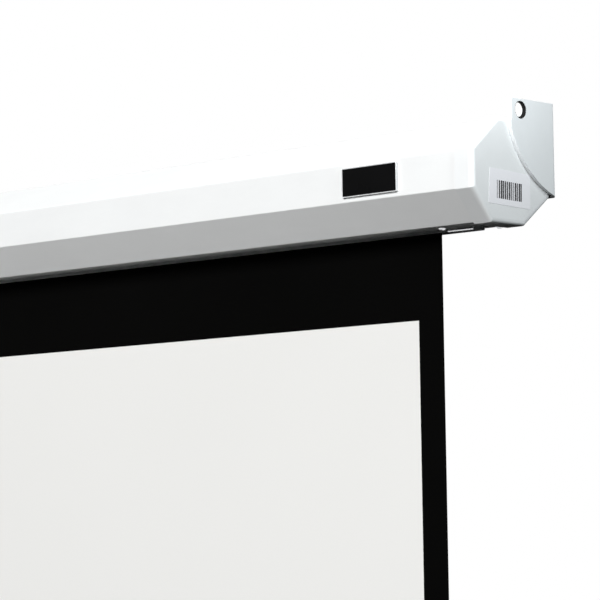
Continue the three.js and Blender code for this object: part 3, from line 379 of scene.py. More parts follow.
def make_finishes(colours):
    """Makes every material and files it in FINISH."""
    rubber, badge, bright = (0.006, 0.006, 0.006), (0.002, 0.002, 0.0022), (0.74, 0.75, 0.76)
    case, bracket, white = (tuple(one) for one in (colours.case_paint, colours.bracket_paint, colours.moulding))
    black, viewing, border = (tuple(one) for one in (colours.black_moulding, colours.viewing, colours.border))
    steel = tuple(colours.zinc)
    oiled = tinted(steel, 0.42)
    FINISH["case_paint"] = powder_coat("case powder coat", case, roughness=0.75, specular=0.02)
    FINISH["bracket_paint"] = powder_coat("bracket powder coat", bracket, roughness=0.65, specular=0.12)
    FINISH["white_moulding"] = moulded("white moulding", white, roughness=0.75, specular=0.02)
    FINISH["black_moulding"] = moulded("black moulding", black, 0.48, 0.35, grain=1300, depth=0.08 * MM, change=0.2)
    FINISH["black_rubber"] = moulded("black rubber", rubber, 0.8, 0.2, grain=700, depth=0.05 * MM, change=0.2)
    FINISH["badge_black"] = moulded("badge black", badge, 0.3, 0.03, grain=300, depth=0.01 * MM, change=0.2)
    FINISH["badge_rim"] = plated("badge bright rim", bright, roughness=0.22, spangle=0.05)
    FINISH["screen_cloth"] = woven("viewing cloth", viewing, 0.05, threads=1800, depth=0.04 * MM, change=0.008)
    FINISH["black_cloth"] = woven("black cloth", border, 0.01, threads=1400, depth=0.06 * MM, change=0.25)
    FINISH["zinc_steel"] = plated("zinc plated steel", steel, roughness=0.36, spangle=0.14)
    FINISH["dark_steel"] = plated("oiled steel", oiled, roughness=0.42, spangle=0.2, streak=(0.05, 1, 1))
    FINISH["screw_steel"] = plated("bright screw steel", (0.70, 0.71, 0.72), roughness=0.26, spangle=0.08)
    FINISH["label"] = printed_label("printed label")


# ---- Meshes ----


def shown(name, data):
    """A new object in the scene."""
    made = bpy.data.objects.new(name, data)
    bpy.context.scene.collection.objects.link(made)
    return made


def mesh_of(name, bm):
    """The plain mesh of a bmesh, which goes."""
    mesh = bpy.data.meshes.new(name)
    bm.to_mesh(mesh)
    bm.free()
    return mesh


def new_piece(name, bm, finishes, body, nodes=(), crease=35.0, settled=True):
    """Turns a bmesh into a piece with its materials, body and CAD nodes."""
    return placed(name, mesh_of(name, bm), finishes, body, nodes, crease, settled)


def placed(name, mesh, finishes, body, nodes=(), crease=35.0, settled=True):
    """A piece of a final mesh. Faces that meet at over crease degrees stay sharp."""
    piece = shown(name, mesh)
    parts = [face.material_index for face in mesh.polygons]
    mesh.materials.clear()
    for one in finishes:
        mesh.materials.append(FINISH[one])
    mesh.polygons.foreach_set("material_index", parts)
    mesh.shade_smooth()
    mesh.set_sharp_from_angle(angle=math.radians(crease))
    if settled:
        weighted = piece.modifiers.new("Even faces", "WEIGHTED_NORMAL")
        weighted.keep_sharp = True
    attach(piece, body)
    if nodes:
        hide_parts(*nodes)
    return piece


def inset(points, distance):
    """Moves each edge of a convex outline, listed anticlockwise, inwards."""
    moved = []
    count = len(points)
    for i in range(count):
        (ax, ay), (bx, by) = points[i], points[(i + 1) % count]
        run = Vector((bx - ax, by - ay)).normalized()
        moved.append((Vector((ax, ay)) + Vector((-run.y, run.x)) * distance, run))
    found = []
    for i in range(count):
        (p, r), (q, s) = moved[i - 1], moved[i]
        cross = r.x * s.y - r.y * s.x
        gap = q - p
        along = (gap.x * s.y - gap.y * s.x) / cross
        found.append((p.x + r.x * along, p.y + r.y * along))
    return found


def softened(corners, steps=6):
    """Rounds each (across, up, radius) corner of a closed outline, inner and outer corners alike."""
    points = []
    count = len(corners)
    for i, (x, y, radius) in enumerate(corners):
        here = Vector((x, y))
        back = (Vector(corners[i - 1][:2]) - here).normalized()
        ahead = (Vector(corners[(i + 1) % count][:2]) - here).normalized()
        angle = back.angle(ahead)
        if radius <= 0 or angle > math.radians(179):
            points.append((x, y))
            continue
        reach = radius / math.tan(angle / 2)
        middle = here + (back + ahead).normalized() * radius / math.sin(angle / 2)
        first = here + back * reach - middle
        last = here + ahead * reach - middle
        for k in range(steps + 1):
            share = k / steps
            turn = math.pi - angle
            spoke = (first * math.sin((1 - share) * turn) + last * math.sin(share * turn)) / math.sin(turn)
            points.append(tuple(middle + spoke))
    return points


def drawn(sections, closed_ends=True):
    """A bmesh through outlines of equal count, each a list of points in space."""
    bm = bmesh.new()
    rings = [[bm.verts.new(point) for point in ring] for ring in sections]
    count = len(rings[0])
    for one, other in zip(rings, rings[1:]):
        for i in range(count):
            j = (i + 1) % count
            bm.faces.new((one[i], one[j], other[j], other[i]))
    if closed_ends:
        bm.faces.new(rings[0])
        bm.faces.new(rings[-1])
    bmesh.ops.recalc_face_normals(bm, faces=bm.faces)
    return bm


def add_to(bm, other):
    """Adds the faces of another bmesh, which goes."""
    mesh = mesh_of("part", other)
    bm.from_mesh(mesh)
    bpy.data.meshes.remove(mesh)


def opened(mesh):
    """A bmesh of a mesh."""
    bm = bmesh.new()
    bm.from_mesh(mesh)
    return bm


def closed_up(bm, distance):
    """Merges the points of a bmesh that lie together and turns its faces outwards."""
    bmesh.ops.remove_doubles(bm, verts=bm.verts, dist=distance)
    bmesh.ops.recalc_face_normals(bm, faces=bm.faces)
    return bm


def mapped(bm, name, place_on_map):
    """Lays a UV map, from each corner's x, y and z to its place on the map."""
    layer = bm.loops.layers.uv.new(name)
    for face in bm.faces:
        for loop in face.loops:
            loop[layer].uv = place_on_map(*loop.vert.co)


def bar_between(outline, start, end, stations=2):
    """Draws a section of (y, z) points along X."""
    places = np.linspace(start, end, stations)
    return drawn([[(x, y, z) for y, z in outline] for x in places])


def circle(x, centre, radius, steps):
    """Points round a line along X, from the +Y side on."""
    turns = [2 * math.pi * k / steps for k in range(steps)]
    return [(x, centre[0] + radius * math.cos(turn), centre[1] + radius * math.sin(turn)) for turn in turns]


def turned(profile, steps, centre):
    """Turns a profile of (radius, x) round the line along X. A closed profile makes a ring."""
    bm = bmesh.new()
    rows = []
    for radius, x in profile:
        if radius == 0:
            rows.append([bm.verts.new((x, *centre))] * steps)
        else:
            rows.append([bm.verts.new(point) for point in circle(x, centre, radius, steps)])
    if rows[0][0].co == rows[-1][0].co:
        for vertex in rows[-1]:
            bm.verts.remove(vertex)
        rows[-1] = rows[0]
    for one, other in zip(rows, rows[1:]):
        for k in range(steps):
            j = (k + 1) % steps
            corners = []
            for vertex in (one[k], one[j], other[j], other[k]):
                if vertex not in corners:
                    corners.append(vertex)
            if len(corners) > 2:
                bm.faces.new(corners)
    bmesh.ops.recalc_face_normals(bm, faces=bm.faces)
    return bm


def merged_copy(name):
    """A clean bmesh of a CAD node: its triangles merged and its flat faces joined."""
    bm = opened(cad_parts[name].data)
    bmesh.ops.remove_doubles(bm, verts=bm.verts, dist=MERGE_DISTANCE)
    bmesh.ops.dissolve_limit(
        bm, angle_limit=FLAT_ANGLE, verts=bm.verts, edges=bm.edges, use_dissolve_boundaries=False
    )
    return bm


def bevelled(bm, edges, width, segments):
    """Rounds some edges of a bmesh."""
    bmesh.ops.bevel(
        bm, geom=edges, offset=width, segments=segments, profile=0.5, affect="EDGES", clamp_overlap=True
    )


def eased(piece, width, segments=2):
    """Breaks the sharp edges of a piece, before its normals are weighted."""
    edge = piece.modifiers.new("Broken edges", "BEVEL")
    edge.width = width
    edge.segments = segments
    edge.limit_method = "ANGLE"
    edge.angle_limit = math.radians(50)
    edge.miter_outer = "MITER_ARC"
    edge.use_clamp_overlap = True
    while piece.modifiers[0] != edge:
        piece.modifiers.move(piece.modifiers.find(edge.name), 0)
    return piece


def refined(name, node_name, finish, body, crease=35.0, edge=0.0):
    """A merged copy of a CAD node in its own finish, its edges broken where a width is given."""
    piece = new_piece(name, merged_copy(node_name), [finish], body, [node_name], crease)
    if edge:
        eased(piece, edge)
    return piece


def centre_of(node_name):
    """The middle of a CAD node's box, as (y, z)."""
    low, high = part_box(node_name)
    return ((low.y + high.y) / 2, (low.z + high.z) / 2)


def radius_of(node_name):
    """The largest radius of a CAD node that is turned round a line along X."""
    low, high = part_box(node_name)
    return (high.z - low.z) / 2


def spun(name, node_name, finish, body, profile, edge):
    """A turned piece in place of a CAD node. The profile is of (radius, x), round the middle of the node's box."""
    bm = turned(profile, TURNED_STEPS, centre_of(node_name))
    return eased(new_piece(name, bm, [finish], body, [node_name]), edge)


def ring_profile(node_name, bore):
    """A plain ring, from the box of its CAD node."""
    low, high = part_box(node_name)
    outer = radius_of(node_name)
    return [(bore, low.x), (outer, low.x), (outer, high.x), (bore, high.x), (bore, low.x)]


# ---- Housing ----


def in_case(depth, height):
    """From the case's own depth and height to the frame's y and z."""
    return (CAP_LOW.y + depth, CAP_LOW.z + height)


def cap_outline():
    """The end cap's outline in the case's own depth and height."""
    return [(depth * CAP_DEPTH, height * CAP_HEIGHT) for depth, height in OCTAGON]


def build_housing(sizes):
    """The folded case, open along its slot, with a rolled foot on each lip of the slot."""
    wall = sizes.case_wall
    bend = sizes.case_bend
    cut = wall * 0.35
    outer = inset(cap_outline(), sizes.cap_step)
    inner = inset(outer, wall)
    under = sizes.cap_step
    floor = under + wall
    lip_top = under + sizes.hem_height
    front = SHEET_Y - CAP_LOW.y - sizes.slot_front
    rear = SHEET_Y - CAP_LOW.y + sizes.slot_rear
    corners = [(front, lip_top, cut), (front - wall, lip_top, cut), (front - wall, floor, cut)]
    corners += [(y, z, bend - wall) for y, z in reversed(inner[2:] + inner[:2])]
    corners += [(rear + wall, floor, cut), (rear + wall, lip_top, cut), (rear, lip_top, cut)]
    corners.append((rear, under, cut))
    corners += [(y, z, bend) for y, z in outer[2:] + outer[:2]]
    corners.append((front, under, cut))
    outline = [in_case(*point) for point in softened(corners, steps=7)]
    bm = bar_between(outline, CASE_LOW.x, CASE_HIGH.x, LONG_STATIONS)

    foot = under - sizes.hem_drop
    wide = sizes.hem_width
    roll = wide * 0.48
    seam = 0.05 * MM
    end = CAP_LOW.x - 0.5 * MM
    bright = SHEET_HIGH.x + 9 * MM
    front_foot = (front - wide, front, under + cut)
    rear_foot = (rear - wide, rear + seam, lip_top - 2 * wall)
    for (near, far, high), low_x, high_x, bare in (
        (front_foot, -end, -bright, True),
        (front_foot, -bright, bright, False),
        (front_foot, bright, end, True),
        (rear_foot, -end, end, False),
    ):
        corners = [(near, high, 0), (near, foot, roll), (far, foot, roll), (far, high, 0)]
        edge = bar_between([in_case(*point) for point in softened(corners)], low_x, high_x)
        for face in edge.faces:
            rolled = face.calc_center_median().z < in_case(0, foot + roll)[1]
            lengthwise = abs(face.normal.x) < 0.5
            face.material_index = int(bare and rolled and lengthwise)
        add_to(bm, edge)
    return new_piece("housing", bm, ["case_paint", "screw_steel"], "root", ["case_shell"], crease=60)


def build_badge(sizes):
    """A black plate in a bright rim, left without any lettering."""
    corner, least_corner = 1.2 * MM, 0.25 * MM
    edge = 0.25 * MM
    rim = sizes.badge_rim
    rear, front = BADGE_HIGH.y, BADGE_LOW.y

    def ring(shrink, y):
        """The plate's outline, smaller all round, at a depth."""
        low_x, high_x = BADGE_LOW.x + shrink, BADGE_HIGH.x - shrink
        low_z, high_z = BADGE_LOW.z + shrink, BADGE_HIGH.z - shrink
        radius = max(corner - shrink, least_corner)
        corners = [(low_x, low_z), (high_x, low_z), (high_x, high_z), (low_x, high_z)]
        return [(x, y, z) for x, z in softened([(*c, radius) for c in corners])]

    sections = [
        ring(0, rear),
        ring(0, front + edge),
        ring(edge * 0.3, front + edge * 0.3),
        ring(edge, front),
        ring(rim - edge, front),
        ring(rim, front + edge),
        ring(rim + edge, front + edge * 0.9),
    ]
    bm = drawn(sections)
    for face in bm.faces:
        middle = face.calc_center_median()
        inside = min(middle.x - BADGE_LOW.x, BADGE_HIGH.x - middle.x, middle.z - BADGE_LOW.z, BADGE_HIGH.z - middle.z)
        face.material_index = int(inside > rim * 0.98 and middle.y < rear - edge)
    return new_piece("badge", bm, ["badge_rim", "badge_black"], "root", ["badge_plate"], crease=40)


# ---- End caps and brackets ----


def cap_sides():
    """The sides of the end cap's outline: where each starts, in the frame's y and z, and its way out."""
    points = [Vector(in_case(*point)) for point in cap_outline()]
    sides = []
    for here, ahead in zip(points, points[1:] + points[:1]):
        run = (ahead - here).normalized()
        sides.append((here, Vector((run.y, -run.x))))
    return sides


def depths_inside(sides, place):
    """How far a place lies inside each side of the outline, with the side's way out."""
    return [((here - place).dot(out), out) for here, out in sides]


def sharpen_lower_edges(bm, radius, share):
    """Draws the rounding of the cap's bottom and lower rear edges tighter than the even one."""
    at_outline, off_arc, same_depth = -0.01 * MM, 0.08 * MM, 0.02 * MM
    sides = cap_sides()
    for vertex in bm.verts:
        from_face = CAP_HIGH.x - abs(vertex.co.x)
        depths = depths_inside(sides, Vector(vertex.co.yz))
        depth = min(value for value, out in depths)
        if not (at_outline < from_face < radius and at_outline < depth < radius):
            continue
        if abs(math.hypot(radius - from_face, radius - depth) - radius) > off_arc:
            continue
        near = [out for value, out in depths if value < depth + same_depth and out.y < -0.3 and out.x > -0.2]
        if not near:
            continue
        turn = math.atan2(radius - depth, radius - from_face)
        new_depth = radius * (1 - math.sin(turn) ** share)
        new_from_face = radius * (1 - math.cos(turn) ** share)
        step = sum(near, Vector((0, 0)))
        step *= (depth - new_depth) / step.dot(near[0])
        vertex.co.x = math.copysign(CAP_HIGH.x - new_from_face, vertex.co.x)
        vertex.co.y += step.x
        vertex.co.z += step.y


def build_end_cap(sizes, label):
    """The moulded cap, with the long corners between its faces rounded."""
    past_spigot = 830 * MM
    on_outline = 0.05 * MM
    rounded_from = CAP_HIGH.x - CAP_ROUNDING - on_outline
    bm = merged_copy(f"end_cap_{label}")
    sharpen_lower_edges(bm, CAP_ROUNDING, 0.6)
    sides = cap_sides()
    middle = Vector((0, *centre_of("end_cap_right")))

    def on_outside(place):
        """Whether a place is on the rim's outline or in the rounding round the cap's face."""
        depth = min(value for value, out in depths_inside(sides, Vector(place.yz)))
        return abs(place.x) > rounded_from or depth < on_outline

    corners = []
    for edge in bm.edges:
        if len(edge.link_faces) != 2 or not 0.3 < edge.calc_face_angle() < 1.0:
            continue
        one, other = (vertex.co for vertex in edge.verts)
        outward = sum((face.normal for face in edge.link_faces), Vector())
        away = (one + other) / 2 - middle
        away.x = 0
        along = abs((other - one).normalized().x)
        own = min(abs(one.x), abs(other.x)) > past_spigot
        if outward.dot(away) > 0 and along > 0.25 and own and on_outside(one) and on_outside(other):
            corners.append(edge)
    bevelled(bm, corners, sizes.cap_corner, segments=3)
    name = f"end_cap_cover_{label}"
    return new_piece(name, bm, ["white_moulding"], "root", [f"end_cap_{label}"], crease=32)


def build_bracket(sizes, label):
    """The wall plate, its outer edge pressed round along the sweep, its inner face close on the cap."""
    same_plane = 0.01 * MM
    clear_of_hole, before_flange = 7 * MM, -2.4 * MM
    gap, close_gap = 0.3 * MM, 0.06 * MM
    bm = merged_copy(f"bracket_{label}")
    face_x = max(abs(vertex.co.x) for vertex in bm.verts)
    hole = Vector(centre_of(f"hanging_bush_{label}"))

    def on_sweep(place):
        """Whether a place is on the plate's outer face, clear of the hole and of the flange."""
        on_face = abs(abs(place.x) - face_x) < same_plane
        return on_face and (Vector(place.yz) - hole).length > clear_of_hole and place.y < before_flange

    pressed = []
    for edge in bm.edges:
        if all(on_sweep(vertex.co) for vertex in edge.verts):
            if len(edge.link_faces) == 2 and edge.calc_face_angle() > 1.2:
                pressed.append(edge)
    bevelled(bm, pressed, sizes.bracket_press, segments=4)
    for vertex in bm.verts:
        if abs(abs(vertex.co.x) - CAP_HIGH.x - gap) < 0.02 * MM and vertex.co.y < -3 * MM:
            vertex.co.x = math.copysign(CAP_HIGH.x + close_gap, vertex.co.x)
    name = f"bracket_plate_{label}"
    piece = new_piece(name, bm, ["bracket_paint"], "root", [f"bracket_{label}"], crease=40)
    return eased(piece, sizes.bracket_edge)


def build_bush(label):
    """Rubber lining of the hanging hole, wider at its outer mouth and thinner towards its upper front."""
    node_name = f"hanging_bush_{label}"
    low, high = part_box(node_name)
    centre_y, centre_z = centre_of(node_name)
    outer = (high.y - low.y) / 2
    bore = outer - 1.15 * MM
    mouth = outer - 0.18 * MM
    shift = 0.35 * MM
    outside, inside = (low.x, high.x) if label == "left" else (high.x, low.x)
    inward = math.copysign(1, inside - outside)
    sections = []

    # Round the lining's section: each ring's radius, place along the hole and share of the shift
    for radius, x, share in (
        (outer, inside - inward * 0.3 * MM, 0),
        (outer, outside + inward * 0.25 * MM, 0),
        (outer - 0.05 * MM, outside + inward * 0.12 * MM, 0),
        (mouth + 0.05 * MM, outside + inward * 0.12 * MM, 0.1),
        (mouth, outside + inward * 0.25 * MM, 0.1),
        (bore + 0.1 * MM, inside - inward * 0.9 * MM, 1),
        (bore, inside - inward * 0.5 * MM, 1),
        (bore + 0.1 * MM, inside - inward * 0.15 * MM, 1),
        (bore + 0.3 * MM, inside, 0.8),
        (outer - 0.3 * MM, inside, 0.2),
        (outer, inside - inward * 0.3 * MM, 0),
    ):
        centre = (centre_y - shift * share, centre_z + shift * share)
        sections.append(circle(x, centre, radius, steps=56))
    bm = closed_up(drawn(sections, closed_ends=False), 1e-7)
    return new_piece(f"hole_lining_{label}", bm, ["black_rubber"], "root", [node_name], crease=50)


def build_label():
    """Paper label on the right end cap. Its corners are in the cap's own depth and height."""
    corners = [(16.3 * MM, 13.2 * MM), (60.5 * MM, 11.7 * MM), (61.0 * MM, 35.5 * MM), (18.1 * MM, 37.5 * MM)]
    corner_radius = 1.0 * MM
    sunk, proud = 0.05 * MM, 0.1 * MM
    outline = softened([(*corner, corner_radius) for corner in corners], steps=5)
    low = Vector(corners[0])
    across = (Vector(corners[1]) - low).normalized()
    upward = Vector((-across.y, across.x))
    width = (Vector(corners[1]) - low).length
    height = (Vector(corners[3]) - low).dot(upward)
    start = Vector(in_case(*corners[0]))

    def on_label(x, y, z):
        """The place on the label's map, 0..1 both ways from its low front corner."""
        run = Vector((y, z)) - start
        return (run.dot(across) / width, run.dot(upward) / height)

    bm = drawn([[(x, *in_case(*p)) for p in outline] for x in (CAP_HIGH.x - sunk, CAP_HIGH.x + proud)])
    mapped(bm, "label", on_label)
    return new_piece("cap_label", bm, ["label"], "root", crease=30)


# ---- Screws, by Geometry Nodes ----


def tree_with(name, sockets):
    """A tree of Geometry Nodes with its inputs, as (title, kind, default)."""
    tree = bpy.data.node_groups.new(name, "GeometryNodeTree")
    tree.interface.new_socket("Geometry", in_out="OUTPUT", socket_type="NodeSocketGeometry")
    for title, kind, default in sockets:
        socket = tree.interface.new_socket(title, in_out="INPUT", socket_type=kind)
        if default is not None:
            socket.default_value = default
    return tree


def finish_tree(tree, geometry, finish):
    """Ends a tree: its instances made real and set in their finish."""
    real = node(tree, "GeometryNodeRealizeInstances", {0: geometry}).outputs[0]
    painted = node(tree, "GeometryNodeSetMaterial", {"Geometry": real, "Material": finish}).outputs[0]
    node(tree, "NodeGroupOutput", {0: painted})
    return tree


def set_inputs(modifier, values):
    """Sets a modifier's inputs by their sockets' identifiers."""
    for item in modifier.node_group.interface.items_tree:
        if item.item_type == "SOCKET" and item.in_out == "INPUT" and item.name in values:
            modifier[item.identifier] = values[item.name]


def as_mesh(carrier, name):
    """The evaluated result of a carrier's modifiers as a plain mesh. The carrier goes."""
    bpy.context.view_layer.update()
    graph = bpy.context.evaluated_depsgraph_get()
    mesh = bpy.data.meshes.new_from_object(carrier.evaluated_get(graph))
    mesh.name = name
    bpy.data.objects.remove(carrier)
    return mesh


def screw_tree():
    """Pan head screws with a cross recess, one on each point, along the point's own axis."""
    tree = tree_with(
        "Pan head screws",
        [
            ("Geometry", "NodeSocketGeometry", None),
            ("Head Radius", "NodeSocketFloat", 2.7 * MM),
            ("Head Height", "NodeSocketFloat", 1.5 * MM),
            ("Shank Radius", "NodeSocketFloat", 1.5 * MM),
            ("Shank Length", "NodeSocketFloat", 6 * MM),
            ("Seed", "NodeSocketInt", 4),
            ("Finish", "NodeSocketMaterial", None),
        ],
    )
    given = node(tree, "NodeGroupInput").outputs
    radius, height = given["Head Radius"], given["Head Height"]

    def sized(x, y, z):
        """A vector of three values."""
        return node(tree, "ShaderNodeCombineXYZ", {"X": x, "Y": y, "Z": z}).outputs[0]

    def block(x, y, z):
        """A block round the middle of the head's seat."""
        return node(tree, "GeometryNodeMeshCube", {"Size": sized(x, y, z)}).outputs["Mesh"]

    def raised(geometry, rise):
        """A geometry moved along the screw's axis."""
        inputs = {"Geometry": geometry, "Translation": sized(0.0, 0.0, rise)}
        return node(tree, "GeometryNodeTransform", inputs).outputs[0]

    def without(geometry, cutter):
        """A geometry with another one cut out of it."""
        inputs = {"Mesh 1": geometry, "Mesh 2": cutter}
        cut = node(tree, "GeometryNodeMeshBoolean", inputs, operation="DIFFERENCE", solver="EXACT")
        return cut.outputs["Mesh"]

    # The head is the upper half of a flattened ball, crossed by two slots of slightly unequal depth
    ball = node(tree, "GeometryNodeMeshUVSphere", {"Segments": 40, "Rings": 24, "Radius": radius}).outputs["Mesh"]
    flat = sized(1.0, 1.0, maths(tree, "DIVIDE", height, radius))
    dome = node(tree, "GeometryNodeTransform", {"Geometry": ball, "Scale": flat}).outputs[0]
    wide = maths(tree, "MULTIPLY", radius, 4)
    head = without(dome, raised(block(wide, wide, wide), maths(tree, "MULTIPLY", radius, -1.99)))
    long_side = maths(tree, "MULTIPLY", radius, 1.15)
    short_side = maths(tree, "MULTIPLY", radius, 0.26)
    deep = maths(tree, "MULTIPLY", height, 1.1)
    less_deep = maths(tree, "MULTIPLY", deep, 0.97)
    head = without(head, raised(block(long_side, short_side, deep), height))
    head = without(head, raised(block(short_side, long_side, less_deep), height))
    shank = node(
        tree,
        "GeometryNodeMeshCylinder",
        {"Vertices": 24, "Radius": given["Shank Radius"], "Depth": given["Shank Length"]},
    ).outputs["Mesh"]
    sunk = raised(shank, maths(tree, "MULTIPLY", given["Shank Length"], -0.5))
    screw = node(tree, "GeometryNodeJoinGeometry", {"Geometry": [head, sunk]}).outputs[0]
    axis = node(tree, "GeometryNodeInputNamedAttribute", {"Name": "axis"}, data_type="FLOAT_VECTOR").outputs[0]
    along = node(tree, "FunctionNodeAlignRotationToVector", {"Vector": axis}, axis="Z").outputs[0]
    chance = node(
        tree, "FunctionNodeRandomValue", {"Seed": given["Seed"], 2: 0.0, 3: 3.1}, data_type="FLOAT"
    ).outputs[1]
    spin = node(tree, "FunctionNodeEulerToRotation", {0: sized(0.0, 0.0, chance)}).outputs[0]
    turned_in = node(
        tree, "FunctionNodeRotateRotation", {0: along, 1: spin}, rotation_space="LOCAL"
    ).outputs[0]
    driven = node(
        tree,
        "GeometryNodeInstanceOnPoints",
        {"Points": given["Geometry"], "Instance": screw, "Rotation": turned_in},
    ).outputs[0]
    return finish_tree(tree, driven, given["Finish"])


def seat_of(name, axis, head_height):
    """Where the head of a CAD screw sits, from its box. The axis points out of the head."""
    low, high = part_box(name)
    middle = (low + high) / 2
    tip = Vector(high[i] if axis[i] > 0 else low[i] if axis[i] < 0 else middle[i] for i in range(3))
    return tuple(tip - Vector(axis) * head_height)


def build_screw_group(name, screws, head_radius, head_height, shank_radius, seed, body="root"):
    """Like screws as one piece. They are given by their CAD names and the axes out of their heads."""
    names = [screw for screw, axis in screws]
    points = bpy.data.meshes.new(name + "_points")
    points.from_pydata([seat_of(screw, axis, head_height) for screw, axis in screws], [], [])
    layer = points.attributes.new("axis", "FLOAT_VECTOR", "POINT")
    layer.data.foreach_set("vector", [value for screw, axis in screws for value in axis])
    low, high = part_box(names[0])
    whole = abs((high - low).dot(Vector(screws[0][1])))
    values = {
        "Head Radius": head_radius,
        "Head Height": head_height,
        "Shank Radius": shank_radius,
        "Shank Length": whole - head_height,
        "Seed": seed,
        "Finish": FINISH["screw_steel"],
    }
    carrier = shown(name + "_carrier", points)
    modifier = carrier.modifiers.new("Screws", "NODES")
    modifier.node_group = bpy.data.node_groups.get("Pan head screws") or screw_tree()
    set_inputs(modifier, values)
    mesh = as_mesh(carrier, name)
    bm = closed_up(opened(mesh), 1e-6)
    bm.to_mesh(mesh)
    bm.free()
    return placed(name, mesh, ["screw_steel"], body, names, crease=40, settled=False)


def build_screws():
    """The screws under the caps and the lips, those in the brackets and those of the handle's saddle."""
    down = (0, 0, -1)
    cap = [(f"cap_screw_{label}", down) for side, label in SIDES]
    support = [(f"support_screw_{label}_{at}", down) for side, label in SIDES for at in ("front", "rear")]
    bracket = [(f"bracket_screw_{label}_{at}", (-side, 0, 0)) for side, label in SIDES for at in ("upper", "lower")]
    handle = [(f"handle_screw_{label}", down) for side, label in SIDES]
    build_screw_group("cap_screws", cap, 2.7 * MM, 1.5 * MM, 1.5 * MM, seed=2)
    build_screw_group("support_screws", support, 2.7 * MM, 1.5 * MM, 1.5 * MM, seed=4)
    build_screw_group("bracket_screws", bracket, 3.6 * MM, 2 * MM, 1.9 * MM, seed=7)
    build_screw_group("handle_screws", handle, 3.1 * MM, 2 * MM, 1.6 * MM, seed=9, body="bar")


# ---- Roller, lock and spring ----


def build_roller():
    """The tube, the turned pieces in its ends, the shaft and the steel plates that carry them."""
    outer = TUBE_RADIUS
    inner = outer - TUBE_WALL
    soft = 0.25 * MM
    profile = [
        (inner, TUBE_LOW.x + soft),
        (inner + soft, TUBE_LOW.x),
        (outer - soft, TUBE_LOW.x),
        (outer, TUBE_LOW.x + soft),
        (outer, TUBE_HIGH.x - soft),
        (outer - soft, TUBE_HIGH.x),
        (inner + soft, TUBE_HIGH.x),
        (inner, TUBE_HIGH.x - soft),
        (inner, TUBE_LOW.x + soft),
    ]
    bm = turned(profile, TURNED_STEPS, (ROLLER_Y, ROLLER_Z))
    new_piece("roller_core", bm, ["zinc_steel"], "roller", ["roller_tube"], crease=50)
    for name, finish, body, bore in (
        ("idler_bush", "white_moulding", "roller", SHAFT_RADIUS + GAP),
        ("spring_plug", "black_moulding", "roller", SHAFT_RADIUS + 2 * GAP),
        ("spring_collar", "black_moulding", "root", SHAFT_RADIUS + GAP),
    ):
        spun(name + "_detail", name, finish, body, ring_profile(name, bore), soft)
    plug = plug_profile("roller_plug_idler", radius_of("idler_bush") + GAP, 1)
    spun("roller_plug_idler_detail", "roller_plug_idler", "black_moulding", "roller", plug, soft)
    build_idler_pin(soft)
    build_lock_plug()
    refined("spring_shaft_detail", "spring_shaft", "dark_steel", "root", edge=soft)
    for side, label in SIDES:
        name = f"roller_support_{label}"
        refined(name + "_plate", name, "zinc_steel", "root", edge=0.2 * MM)


def build_idler_pin(edge):
    """The plain end's pin, riveted over outside its plate."""
    low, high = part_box("idler_pin")
    rivet = radius_of("idler_pin")
    chamfer = 0.6 * MM
    neck = 3 * MM
    head = high.x - 1.2 * MM
    shoulder = head - 2.1 * MM
    pin = [(0, low.x), (SHAFT_RADIUS, low.x), (SHAFT_RADIUS, shoulder), (neck, shoulder), (neck, head)]
    pin += [(rivet, head), (rivet - chamfer, high.x), (0, high.x)]
    spun("idler_pin_detail", "idler_pin", "dark_steel", "root", pin, edge)


def plug_profile(node_name, bore, side):
    """A plug's spigot in the tube and its flange outside it, on the +X side or the other."""
    low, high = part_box(node_name)
    inner, outer = (low.x, high.x) if side > 0 else (high.x, low.x)
    flange = radius_of(node_name)
    flange_thickness = 3 * MM
    spigot = TUBE_RADIUS - TUBE_WALL - GAP
    shoulder = outer - side * flange_thickness
    profile = [(bore, inner), (spigot, inner), (spigot, shoulder), (flange, shoulder), (flange, outer)]
    return [*profile, (bore, outer), (bore, inner)]


def build_lock_plug():
    """The plug of the spring end, with the holes of the pawls' rivets in its flange."""
    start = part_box("roller_plug_spring")[0].x - 1 * MM
    drilled = PAWL_PIN_RADIUS + GAP
    profile = plug_profile("roller_plug_spring", SHAFT_RADIUS + 2 * GAP, -1)
    holes = bmesh.new()
    for label in ("upper", "lower"):
        pin = f"pawl_pin_{label}"
        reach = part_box(pin)[1].x + GAP
        outline = [(0, start), (drilled, start), (drilled, reach), (0, reach)]
        add_to(holes, turned(outline, steps=32, centre=centre_of(pin)))
    blank = shown("plug_blank", mesh_of("plug_blank", turned(profile, TURNED_STEPS, (ROLLER_Y, ROLLER_Z))))
    cutter = shown("plug_holes", mesh_of("plug_holes", holes))
    drill = blank.modifiers.new("Drill", "BOOLEAN")
    drill.operation = "DIFFERENCE"
    drill.solver = "EXACT"
    drill.object = cutter
    name = "roller_plug_spring_detail"
    mesh = as_mesh(blank, name)
    bpy.data.objects.remove(cutter)
    piece = placed(name, mesh, ["black_moulding"], "roller", ["roller_plug_spring"])
    return eased(piece, 0.2 * MM)


def build_lock():
    """The notched wheel on the shaft, and the pawls on their rivets in the plug."""
    refined("notched_wheel", "ratchet_wheel", "zinc_steel", "root", crease=30, edge=0.2 * MM)
    edge = 0.15 * MM
    for label in ("upper", "lower"):
        refined(f"lock_pawl_{label}", f"pawl_{label}", "zinc_steel", f"{label}_pawl", crease=30, edge=edge)
        pin = f"pawl_pin_{label}"
        low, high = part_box(pin)
        head = radius_of(pin)
        under = low.x + 0.8 * MM
        rivet = [(0, low.x), (head, low.x), (head, under), (PAWL_PIN_RADIUS, under), (PAWL_PIN_RADIUS, high.x)]
        rivet.append((0, high.x))
        spun(f"pawl_rivet_{label}", pin, "screw_steel", "roller", rivet, edge)


